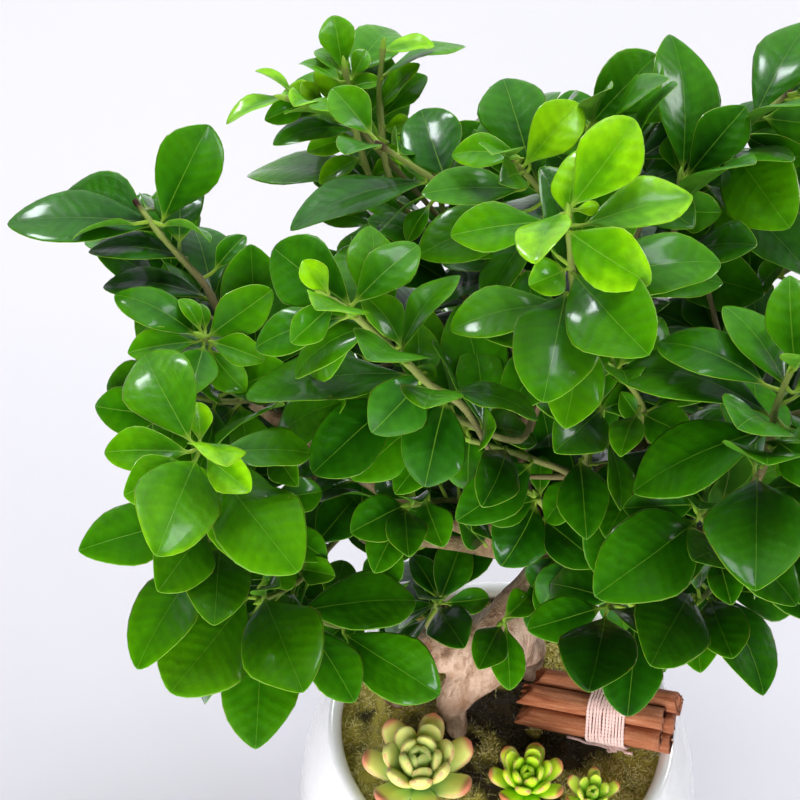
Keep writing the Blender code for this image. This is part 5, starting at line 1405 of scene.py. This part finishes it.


# Leaf skin: waxy, with a clear gloss over deep colour above and nearly matt below. Blade holds the place
# along, across and in from the rim in mm, and look holds each leaf's youth, which for some leaves also holds
# painted shade and light, a tone of its own and its length.
def leaf_skin(name, roughness, ages, rib_code, coat):
    """Skin of a leaf with its rib, side veins, rim and stalk, from its colours for ages from old to young."""
    material, tree, shader = new_material(name, roughness, coat_weight=coat, coat_roughness=0.13,
                                          specular_ior_level=0.2,
                                          subsurface_weight=0.12, subsurface_scale=0.6 * MM)
    blade = add_node(tree, "ShaderNodeAttribute", {"attribute_name": "blade"})
    place = add_node(tree, "ShaderNodeSeparateXYZ", links={0: blade.outputs["Vector"]})
    look = add_node(tree, "ShaderNodeAttribute", {"attribute_name": "look"})
    own = add_node(tree, "ShaderNodeSeparateXYZ", links={0: look.outputs["Vector"]})
    across = add_node(tree, "ShaderNodeMath", {"operation": "ABSOLUTE"}, {0: place.outputs["Y"]})
    # Side veins leave the rib at a slant, about 5 mm apart
    mottle = add_node(tree, "ShaderNodeTexNoise", {"Scale": 1 / 7, "Detail": 4.0, "Roughness": 0.6},
                      {0: blade.outputs["Vector"]})
    slant = add_node(tree, "ShaderNodeMath", {"operation": "MULTIPLY_ADD", 1: -0.6},
                     {0: across, 2: place.outputs["X"]})
    waver = add_node(tree, "ShaderNodeMath", {"operation": "MULTIPLY_ADD", 1: 5.0}, {0: mottle, 2: slant})
    turn = add_node(tree, "ShaderNodeMath", {"operation": "MULTIPLY", 1: math.tau / 5.2}, {0: waver})
    ridge = add_node(tree, "ShaderNodeMath", {"operation": "SINE"}, {0: turn})
    # The tone follows the leaf's age. It is mottled, darker at the base and along the rib, and lighter
    # towards the tip and the rim
    outward = add_node(tree, "ShaderNodeMath", {"operation": "DIVIDE"},
                       {0: place.outputs["X"], 1: own.outputs["Z"]})
    toward_tip = add_node(tree, "ShaderNodeMapRange",
                          {"interpolation_type": "SMOOTHSTEP", "From Min": 0.05, "From Max": 0.9,
                           "To Min": -0.15, "To Max": 0.09}, {0: outward})
    near_rib = add_node(tree, "ShaderNodeMapRange", {"interpolation_type": "SMOOTHSTEP", "From Max": 5.0,
                                                     "To Min": -0.12, "To Max": 0.0}, {0: across})
    near_rim = add_node(tree, "ShaderNodeMapRange", {"interpolation_type": "SMOOTHSTEP", "From Max": 4.0,
                                                     "To Min": 0.10, "To Max": 0.0}, {0: place.outputs["Z"]})
    shift = add_node(tree, "ShaderNodeMath", {"operation": "MULTIPLY_ADD", 1: 0.16, 2: -0.08}, {0: mottle})
    shift = add_node(tree, "ShaderNodeMath", {"operation": "ADD"}, {0: shift, 1: own.outputs["X"]})
    shift = add_node(tree, "ShaderNodeMath", {"operation": "MULTIPLY_ADD", 1: 0.2},
                     {0: own.outputs["Y"], 2: shift})
    for more in (near_rib, toward_tip, near_rim):
        shift = add_node(tree, "ShaderNodeMath", {"operation": "ADD"}, {0: shift, 1: more})
    plain = add_node(tree, "ShaderNodeValToRGB", {"stops": ages}, {0: shift})
    bright = add_node(tree, "ShaderNodeMath", {"operation": "MULTIPLY_ADD", 1: 0.55, 2: 0.74}, {0: mottle})
    bright = add_node(tree, "ShaderNodeMath", {"operation": "MULTIPLY_ADD", 1: 0.045}, {0: ridge, 2: bright})
    colour = add_node(tree, "ShaderNodeHueSaturation", links={"Color": plain, "Value": bright})
    # The rib is 0.9 mm wide at the base and narrows towards the tip
    narrow = add_node(tree, "ShaderNodeMapRange",
                      {"From Min": 0.0, "From Max": 42.0, "To Min": 0.45, "To Max": 0.18},
                      {0: place.outputs["X"]})
    rib = add_node(tree, "ShaderNodeMapRange",
                   {"interpolation_type": "SMOOTHSTEP", "To Min": 0.38, "To Max": 0.0, "From Min": 0.08},
                   {0: across, "From Max": narrow})
    ribbed = add_node(tree, "ShaderNodeMix", {"data_type": "RGBA", 7: linear(rib_code)},
                      {"Factor": rib, 6: colour})
    rim = add_node(tree, "ShaderNodeMapRange",
                   {"interpolation_type": "SMOOTHSTEP", "From Min": 0.10, "From Max": 0.42, "To Min": 0.48,
                    "To Max": 0.0}, {0: place.outputs["Z"]})
    rimmed = add_node(tree, "ShaderNodeMix", {"data_type": "RGBA", 7: linear("#9cc444")},
                      {"Factor": rim, 6: ribbed.outputs[2]})
    stalk = add_node(tree, "ShaderNodeMapRange",
                     {"From Min": -1.0, "From Max": 3.5, "To Min": 1.0, "To Max": 0.0},
                     {0: place.outputs["X"]})
    whole = add_node(tree, "ShaderNodeMix", {"data_type": "RGBA", 7: linear("#86a636")},
                     {"Factor": stalk, 6: rimmed.outputs[2]})
    tree.links.new(whole.outputs[2], shader.inputs["Base Color"])
    # The skin is drawn into long shallow ripples that break up the light
    drawn = add_node(tree, "ShaderNodeVectorMath", {"operation": "MULTIPLY", 1: (0.35, 1.0, 1.0)},
                     {0: blade.outputs["Vector"]})
    dents = add_node(tree, "ShaderNodeTexNoise", {"Scale": 1 / 3.2, "Detail": 3.0}, {0: drawn})
    height = add_node(tree, "ShaderNodeMath", {"operation": "MULTIPLY_ADD", 1: 0.18}, {0: ridge, 2: dents})
    height = add_node(tree, "ShaderNodeMath", {"operation": "MULTIPLY_ADD", 1: -0.9}, {0: rib, 2: height})
    relief = add_node(tree, "ShaderNodeBump", {"Strength": 0.6, "Distance": 0.5 * MM}, {"Height": height})
    tree.links.new(relief.outputs[0], shader.inputs["Normal"])
    return material


leaf_upper = leaf_skin("waxy_leaf_upper_skin", 0.40,
                       ((0.0, "#0e3b01"), (0.15, "#1a5201"), (0.35, "#2b6a01"), (0.58, "#3d7e01"),
                        (0.82, "#529401"), (1.0, "#84c404")), "#7db02c", 0.6)
leaf_under = leaf_skin("leaf_underside", 0.5,
                       ((0.0, "#366a16"), (0.4, "#4d861e"), (1.0, "#86b83e")), "#a9c268", 0.05)

# Young ficus bark: grey brown with pale pores, turning green towards the tip, and dark where it was cut
twig, tree, shader = new_material("young_ficus_bark", 0.6)
look = add_node(tree, "ShaderNodeAttribute", {"attribute_name": "look"})
own = add_node(tree, "ShaderNodeSeparateXYZ", links={0: look.outputs["Vector"]})
grain = add_node(tree, "ShaderNodeTexNoise", {"Scale": per_mm(1.4), "Detail": 4.0})
old_tone = add_node(tree, "ShaderNodeValToRGB",
                    {"stops": ((0.34, "#473f27"), (0.5, "#716842"), (0.66, "#a0976c"))}, {0: grain})
green_tone = add_node(tree, "ShaderNodeValToRGB", {"stops": ((0.3, "#66752c"), (0.7, "#9aab55"))}, {0: grain})
grown = add_node(tree, "ShaderNodeMapRange", {"From Min": 0.25, "From Max": 0.85}, {0: own.outputs["X"]})
colour = add_node(tree, "ShaderNodeMix", {"data_type": "RGBA"}, {"Factor": grown, 6: old_tone, 7: green_tone})
budded = add_node(tree, "ShaderNodeMix", {"data_type": "RGBA", 7: linear("#8db637")},
                  {"Factor": own.outputs["Z"], 6: colour.outputs[2]})
ended = add_node(tree, "ShaderNodeMix", {"data_type": "RGBA", 7: linear("#3a1f18")},
                 {"Factor": own.outputs["Y"], 6: budded.outputs[2]})
relief = add_node(tree, "ShaderNodeBump", {"Strength": 0.5, "Distance": 0.4 * MM}, {"Height": grain})
tree.links.new(ended.outputs[2], shader.inputs["Base Color"])
tree.links.new(relief.outputs[0], shader.inputs["Normal"])

all_leaves = [leaf for leaves in shoot_leaves.values() for leaf in leaves]
for leaf in all_leaves:
    leaf.age = None
# Painted shade and light: each leaf listed here takes the tone that matches how bright it shows, darker deep
# in the crown and lighter where lit from behind.
for spot, age in SEEN_AGES_AND_SHADE.items():
    gaps = [(math.dist(picture_of(leaf.point(0.5, 0)), spot), i) for i, leaf in enumerate(all_leaves)]
    gap, i = min(gaps)
    if gap < AGE_REACH:
        all_leaves[i].age = age
dice = random.Random(47)
for name, path in stem_paths.items():
    shell = Shell()
    tip_youth = YOUNG_TIPS.get(name, YOUNG_ELSEWHERE)
    add_stem(shell, path, shoot_leaves[name], name in CUT_STEMS, tip_youth)
    for leaf in shoot_leaves[name]:
        place = share_along(path, leaf.root)
        youth = tip_youth * (0.3 + 0.5 * place ** 2) + 0.2 * part_done(leaf.length, LONG_LEAF, SHORT_LEAF)
        add_leaf(shell, leaf, min(1, youth) if leaf.age is None else leaf.age, dice)
    shoot = shell.make("leafy_" + name, [leaf_upper, leaf_under, twig])
    place_piece(shoot, "leaf", "shoot_" + name)
shell = Shell()
for leaf in shoot_leaves["wood"]:
    add_leaf(shell, leaf, dice.uniform(0, 0.15), dice)
inner = shell.make("limb_leaves", [leaf_upper, leaf_under])
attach(inner, "root")


# Succulents: three rosettes of fat leaves in rings, each on a short stem in the soil. The large one is pale
# green and yellower outwards, the small ones are lime, and all have pink-red tips.
# Each is (across, back, rosette radius, leaves in each ring from the outside in, tone from 0 pale to 1 lime)
SUCCULENTS = {
    "succulent_large": (-40, -31, 29, (7, 7, 5, 4), 0.0),
    "succulent_middle": (11, -34, 20, (7, 6, 5, 3), 1.0),
    "succulent_small": (41, -41, 14.5, (6, 6, 4), 0.8),
}
SUCCULENT_STEM_RADIUS = 3.0
SUCCULENT_STEM_SIDES = 16
SUCCULENT_TURN = 0.37
# Sizes of the leaves as shares of the rosette's radius, and what they lose from the outer ring to the heart
SPOON_LENGTH = 1.10
SPOON_SHORTER = 0.56
SPOON_WIDTH = 0.47
SPOON_SLIMMER = 0.42
SPOON_THICKNESS = 0.22
SPOON_THINNER = 0.3
ROSETTE_LIFT = 0.34
OUTER_RISE = 25
HEART_RISE = 62
SPOON_WIDEST = 0.72
SPOON_SIDES = 16
SPOON_ROWS = 14


def spoon_rows(length, width, thickness, rise, turn, base, dice):
    """Rings of a fat spoon-shaped leaf, widest past its middle, with a blunt pointed end."""
    frame_turn = Matrix.Rotation(turn, 3, "Z") @ Matrix.Rotation(-rise, 3, "Y")
    rows, marks = [], []
    curl = dice.uniform(0.12, 0.22)
    for i in range(SPOON_ROWS):
        t = 1 - (1 - i / SPOON_ROWS) ** 1.6
        if t < SPOON_WIDEST:
            share = 0.45 + 0.55 * math.sin(math.pi / 2 * t / SPOON_WIDEST)
        else:
            share = math.sqrt(max(0, 1 - ((t - SPOON_WIDEST) / 0.29) ** 2.8))
        half = width / 2 * share
        deep = thickness / 2 * (0.35 + 0.65 * share)
        bend = length * curl * t * t
        row, row_marks = [], []
        for k in range(SPOON_SIDES):
            angle = math.tau * k / SPOON_SIDES
            y = math.cos(angle)
            z = math.sin(angle)
            hollow = 0.15 * deep * (1 - y * y) if z > 0 else 0
            keel = 1.25 if z < 0 else 0.9
            spot = Vector((t * length, y * half, z * deep * keel - hollow + bend))
            row.append(base + frame_turn @ spot)
            row_marks.append((t, abs(y), 0))
        rows.append(row)
        marks += row_marks
    return rows, marks, base + frame_turn @ Vector((length * 1.02, 0, length * (curl + 0.03)))


# Succulent skin: smooth, fleshy and a little bloomy, so the gloss is broad and the light goes in
fleshy, tree, shader = new_material("succulent_skin", 0.38, subsurface_weight=0.3, subsurface_scale=1.5 * MM)
look = add_node(tree, "ShaderNodeAttribute", {"attribute_name": "look"})
own = add_node(tree, "ShaderNodeSeparateXYZ", links={0: look.outputs["Vector"]})
pale = add_node(tree, "ShaderNodeValToRGB", {"stops": ((0.0, "#7cb480"), (0.4, "#c0df8c"), (0.75, "#ecef8c"),
                                                     (1.0, "#f8f092"))}, {0: own.outputs["X"]})
lime = add_node(tree, "ShaderNodeValToRGB",
                {"stops": ((0.0, "#7cb80e"), (0.5, "#b6ec1e"), (0.85, "#e0f846"))}, {0: own.outputs["X"]})
kind = add_node(tree, "ShaderNodeMix", {"data_type": "RGBA"}, {"Factor": own.outputs["Z"], 6: pale, 7: lime})
rim = add_node(tree, "ShaderNodeMapRange",
               {"interpolation_type": "SMOOTHSTEP", "From Min": 0.80, "From Max": 1.0},
               {0: own.outputs["Y"]})
out = add_node(tree, "ShaderNodeMapRange",
               {"interpolation_type": "SMOOTHSTEP", "From Min": 0.45, "From Max": 0.95},
               {0: own.outputs["X"]})
blush = add_node(tree, "ShaderNodeMath", {"operation": "MULTIPLY"}, {0: rim, 1: out})
edged = add_node(tree, "ShaderNodeMix", {"data_type": "RGBA", 7: linear("#eee79c")},
                 {"Factor": blush, 6: kind.outputs[2]})
point = add_node(tree, "ShaderNodeMapRange",
                 {"interpolation_type": "SMOOTHSTEP", "From Min": 0.86, "From Max": 1.0, "To Max": 0.85},
                 {0: own.outputs["X"]})
uneven = add_node(tree, "ShaderNodeTexNoise", {"Scale": per_mm(4), "Detail": 3.0})
spots = add_node(tree, "ShaderNodeMapRange", {"From Min": 0.36, "From Max": 0.58, "To Max": 0.85},
                 {0: uneven})
blush = add_node(tree, "ShaderNodeMath", {"operation": "MULTIPLY", "use_clamp": True}, {0: blush, 1: spots})
blush = add_node(tree, "ShaderNodeMath", {"operation": "MAXIMUM"}, {0: blush, 1: point})
blushed = add_node(tree, "ShaderNodeMix", {"data_type": "RGBA", 7: linear("#d86a60")},
                   {"Factor": blush, 6: edged.outputs[2]})
tree.links.new(blushed.outputs[2], shader.inputs["Base Color"])

dice = random.Random(8)
for name, (across, back, radius, rings, own_tone) in SUCCULENTS.items():
    around = [Vector((0, 0)), *(Matrix.Rotation(math.tau * i / 12, 2) @ Vector((radius * share, 0))
                                for i in range(12) for share in (0.5, 1.0))]
    ground = max(moss_height(across + spot.x, back + spot.y) for spot in around)
    top = Vector((across, back, ground + radius * ROSETTE_LIFT))
    shell = Shell()
    stem = [Vector((across, back, z)) for z in (SOIL_TOP - 4, ground + 0.5, top.z)]
    stem_sizes = [SUCCULENT_STEM_RADIUS, SUCCULENT_STEM_RADIUS, radius * 0.2]
    corners, faces = tube_shape(stem, stem_sizes, SUCCULENT_STEM_SIDES)
    shell.add(corners, faces, 0, look=[(0.0, 0.0, own_tone)] * len(corners))
    for ring, count in enumerate(rings):
        inward = ring / len(rings)
        length = radius * (SPOON_LENGTH - SPOON_SHORTER * inward) * dice.uniform(0.94, 1.04)
        width = radius * SPOON_WIDTH * (1 - SPOON_SLIMMER * inward)
        thickness = radius * SPOON_THICKNESS * (1 - SPOON_THINNER * inward)
        rise = math.radians(OUTER_RISE + HEART_RISE * inward ** 0.85)
        base = top - Vector((0, 0, radius * (0.10 - 0.16 * inward)))
        for number in range(count):
            turn = math.tau * (number + 0.5 * (ring % 2)) / count + SUCCULENT_TURN * (1 + ring)
            rows, marks, end = spoon_rows(length, width * dice.uniform(0.92, 1.05), thickness,
                                          rise + dice.uniform(-0.06, 0.06), turn, base, dice)
            corners, faces = skinned(rows, last_cap=False)
            last = len(corners) - SPOON_SIDES
            corners.append(end)
            faces += [(last + i, last + (i + 1) % SPOON_SIDES, len(corners) - 1) for i in range(SPOON_SIDES)]
            marks.append((1, 0, 0))
            shell.add(corners, faces, 0, look=[(t * (1 - 0.5 * inward), s, own_tone) for t, s, _ in marks])
    rosette = shell.make("rosette_" + name, [fleshy])
    place_piece(rosette, "succulent", name)


# Cinnamon: seven quills of dried bark, each rolled into itself from both edges, tied into one bundle of six
# round one that lies with its left end on the moss and its right end on the pot's rim.
STICK_RADIUS = 5.2
STICK_LENGTH = 70.0
STICK_SPACING = 2 * STICK_RADIUS + GAP
BUNDLE_LEFT = Vector((12, 13, 150.9))
BUNDLE_RIGHT = Vector((81, -11, 163.8))
QUILL_POINTS = 44
QUILL_ROWS = 16
QUILL_BARK = 1.15
# How far each edge of the strip turns from its middle, and where it starts to roll in
QUILL_REACH = math.radians(158) + math.radians(150)
QUILL_CURL_START = math.radians(112)
QUILL_CURL_DEPTH = 3.0
WORN_DEPTH = 1.6
UNEVEN_DEPTH = 0.22
BROKEN_SLANT = (4.0, 9.0)


def bundle_frame():
    """Turns the bundle's own coordinates, with z along it, into the pot's."""
    along = (BUNDLE_RIGHT - BUNDLE_LEFT).normalized()
    level = Vector((0, 0, 1)).cross(along).normalized()
    up = along.cross(level)
    turn = Matrix((up, level, along)).transposed().to_4x4()
    return Matrix.Translation((BUNDLE_LEFT + BUNDLE_RIGHT) / 2) @ turn


def bundle_places():
    """Middles of the sticks across the bundle: one, and six round it with a pair at the bottom."""
    places = [Vector((0, 0, 0))]
    for i in range(6):
        angle = math.radians(60 * i + 30)
        places.append(Vector((STICK_SPACING * math.cos(angle), STICK_SPACING * math.sin(angle), 0)))
    return places


def quill_rings(middle, roll, shift, frame_turn, dice):
    """Rings of a rolled strip of bark along the bundle, with worn, uneven ends."""
    reach = QUILL_REACH
    seed = dice.uniform(0, 100)
    slant = dice.uniform(*BROKEN_SLANT)
    line = []
    for i in range(QUILL_POINTS):
        angle = -reach + 2 * reach * i / (QUILL_POINTS - 1)
        curled = max(0, abs(angle) - QUILL_CURL_START) / (reach - QUILL_CURL_START)
        line.append((angle, STICK_RADIUS - QUILL_CURL_DEPTH * curled ** 0.9))
    rings = []
    for row in range(QUILL_ROWS + 1):
        t = row / QUILL_ROWS
        edge = abs(2 * t - 1) ** 10
        outer, inner = [], []
        for angle, radius in line:
            chip = edge * WORN_DEPTH * noise.noise(Vector((angle * 1.6, seed, t * 2)))
            wide = radius + UNEVEN_DEPTH * noise.noise(Vector((angle * 2.5, seed + 7, t * 5)))
            # The left end is broken off at a slant, so that the hollow shows from above
            upper = max(0, math.cos(angle + roll)) ** 1.5
            z = (t - 0.5) * STICK_LENGTH + shift + chip + slant * upper * (1 - t) ** 9
            for side, skin in ((outer, 0), (inner, QUILL_BARK)):
                spot = Matrix.Rotation(roll, 2) @ Vector(((wide - skin) * math.cos(angle),
                                                         (wide - skin) * math.sin(angle)))
                side.append(frame_turn @ (middle + Vector((spot.x, spot.y, z))))
        rings.append(outer + inner[::-1])
    return rings


# Cassia bark: matt and fibrous, red-brown, with pale streaks and dark furrows that run along each quill
cassia, tree, shader = new_material("cassia_bark", 0.78)
places = add_node(tree, "ShaderNodeTexCoord")
bundle = bundle_frame()
turn_back = bundle.to_3x3().inverted().to_euler()
straight = add_node(tree, "ShaderNodeMapping", {"Rotation": tuple(turn_back)}, {0: places.outputs["Object"]})
drawn = add_node(tree, "ShaderNodeMapping", {"Scale": (1.0, 1.0, 0.09)}, {0: straight})
fibres = add_node(tree, "ShaderNodeTexNoise", {"Scale": per_mm(1.6), "Detail": 4.0, "Roughness": 0.6},
                  {0: drawn})
cloud = add_node(tree, "ShaderNodeTexNoise", {"Scale": per_mm(12), "Detail": 2.0})
both = add_node(tree, "ShaderNodeMath", {"operation": "MULTIPLY_ADD", 1: 0.4}, {0: cloud, 2: fibres})
tone = add_node(tree, "ShaderNodeValToRGB", {"stops": ((0.42, "#693a26"), (0.58, "#945335"), (0.8, "#ad6f4e"),
                                                     (0.95, "#c08b6b"))}, {0: both})
relief = add_node(tree, "ShaderNodeBump", {"Strength": 0.4, "Distance": 0.4 * MM}, {"Height": fibres})
tree.links.new(tone.outputs[0], shader.inputs["Base Color"])
tree.links.new(relief.outputs[0], shader.inputs["Normal"])

stick_dice = random.Random(5)
chip_dice = random.Random(6)
for number, middle in enumerate(bundle_places()):
    shell = Shell()
    roll, shift = stick_dice.uniform(0, math.tau), stick_dice.uniform(-3, 3)
    shell.add(*skinned(quill_rings(middle, roll, shift, bundle, chip_dice)))
    quill = shell.make(f"quill_{number + 1}", [cassia])
    place_piece(quill, "cinnamon", f"cinnamon_{number + 1}")


# Twine: two-ply jute wound tight round the bundle, side by side in a band, and knotted at the front with two
# loose ends. The plies twist about each other, and hairs stand off them.
BAND_WIDTH = 20.0
BAND_PLACE = 0.60
WINDINGS = 12
WINDING_LIFT = 1.05
WINDING_STRAY = 0.35
PLY_RADIUS = 0.56
PLY_TWIST = 3.4
PLY_SIDES = 8
WRAP_CORNER_STEPS = 12
KNOT_CORNER = 3
KNOT_LIFT = 2.6
KNOT_RADIUS = 2.0
KNOT_STEPS = 60
# Loose ends as (reach along the bundle, drift sideways)
LOOSE_ENDS = ((22, 1.5), (-9, -4.0))
# The vector noise that bends the loose ends is seeded from the clock unless it is given a seed
LOOSE_END_SEED = 1795842008
FIBRE_COUNT = 260
FIBRE_LENGTH = 3.2


def wrap_point(corner, step, offset):
    """Point of a wrap pulled tight round the six outer sticks, at a distance outside them."""
    middle = bundle_places()[1 + corner % 6]
    angle = math.radians(60 * corner + 30 + 30 * step)
    reach = STICK_RADIUS + offset
    return middle + Vector((reach * math.cos(angle), reach * math.sin(angle), 0))


def add_twine(shell, path, turned=0.0):
    """Adds two-ply twine along a path: two round strands that wind about each other."""
    for ply in (0, 1):
        points = []
        length = 0.0
        for i, point in enumerate(path):
            along = (path[min(i + 1, len(path) - 1)] - path[max(i - 1, 0)]).normalized()
            length += (point - path[max(i - 1, 0)]).length
            across = along.cross(Vector((0.31, 0.22, 0.92))).normalized()
            angle = math.tau * length / PLY_TWIST + math.pi * ply + turned
            points.append(point + Matrix.Rotation(angle, 3, along) @ across * PLY_RADIUS * 0.55)
        corners, faces = tube_shape(points, [PLY_RADIUS] * len(points), PLY_SIDES)
        faces[0] = tuple(reversed(faces[0]))
        shell.add(corners, faces)


twine_middle = (BAND_PLACE - 0.5) * STICK_LENGTH
band_half = BAND_WIDTH / 2 - PLY_RADIUS
winding_steps = 6 * WRAP_CORNER_STEPS
twine_shell = Shell()
dice = random.Random(12)
wound = []
for i in range(WINDINGS * winding_steps + 1):
    turns_done = i / winding_steps
    corner, part_way = divmod(i, WRAP_CORNER_STEPS)
    share = part_way / WRAP_CORNER_STEPS
    # Round the stick for the first part of each sixth, then straight across to the next
    if share < 0.5:
        spot = wrap_point(corner, 4 * share - 1, WINDING_LIFT)
    else:
        leaving = wrap_point(corner, 1, WINDING_LIFT)
        spot = leaving.lerp(wrap_point(corner + 1, -1, WINDING_LIFT), 2 * share - 1)
    stray = WINDING_STRAY * noise.noise(Vector((i / 9, 3.1, 0)))
    along = -band_half + 2 * band_half * turns_done / WINDINGS + stray
    wound.append(bundle @ (spot + Vector((0, 0, twine_middle + along))))
add_twine(twine_shell, wound)


# The knot sits at the front of the band, and an end lies loose along the bundle on each side of it
knot_middle = wrap_point(KNOT_CORNER, 0.6, KNOT_LIFT) + Vector((0, 0, twine_middle + 1.3))
outward = (knot_middle - Vector((0, 0, knot_middle.z))).normalized()
sideways = outward.cross(Vector((0, 0, 1)))
tie = []
for i in range(KNOT_STEPS + 1):
    angle = math.tau * 2 * i / KNOT_STEPS
    loop = knot_middle + sideways * KNOT_RADIUS * math.sin(angle) + outward * 1.0 * math.cos(1.5 * angle)
    rise = Vector((0, 0, KNOT_RADIUS * math.cos(angle) * (1 - i / 150)))
    tie.append(bundle @ (loop + rise))
add_twine(twine_shell, tie)
noise.seed_set(LOOSE_END_SEED)
for reach, drift in LOOSE_ENDS:
    end = []
    for share in (0, 0.15, 0.35, 0.6, 0.8, 1.0):
        aside = knot_middle + sideways * drift * share ** 2 - outward * 1.2 * share
        stray = noise.noise_vector(Vector((reach, 4 * share, 1))) * 3.5 * share
        end.append(bundle @ (aside - Vector((0, 0, reach * share))) + stray)
    add_twine(twine_shell, smooth_path(end, 8))
for _ in range(FIBRE_COUNT):
    root = dice.choice(wound)
    heading = Vector((dice.uniform(-1, 1), dice.uniform(-1, 1), dice.uniform(-1, 1))).normalized()
    away = (root - bundle @ Vector((0, 0, twine_middle))).normalized()
    heading = (heading + away * 0.8).normalized()
    reach = dice.uniform(0.4, 1.0) * FIBRE_LENGTH
    hair = [root, root + heading * reach * 0.5, root + (heading + away.cross(heading) * 0.4) * reach]
    corners, faces = tube_shape(hair, [0.07, 0.06, 0.03], 3)
    faces[0] = tuple(reversed(faces[0]))
    twine_shell.add(corners, faces)

# Jute: dry and hairy, pale brown
jute, tree, shader = new_material("two_ply_jute", 0.9, sheen_weight=0.3, sheen_roughness=0.6)
strand = add_node(tree, "ShaderNodeTexNoise", {"Scale": per_mm(0.8), "Detail": 4.0})
tone = add_node(tree, "ShaderNodeValToRGB", {"stops": ((0.3, "#d9aaa0"), (0.5, "#fad3ca"), (0.7, "#ffe9e4"))},
                {0: strand})
relief = add_node(tree, "ShaderNodeBump", {"Strength": 0.6, "Distance": 0.3 * MM}, {"Height": strand})
tree.links.new(tone.outputs[0], shader.inputs["Base Color"])
tree.links.new(relief.outputs[0], shader.inputs["Normal"])
twine = twine_shell.make("twine_wrap", [jute])
place_piece(twine, "twine", "twine")
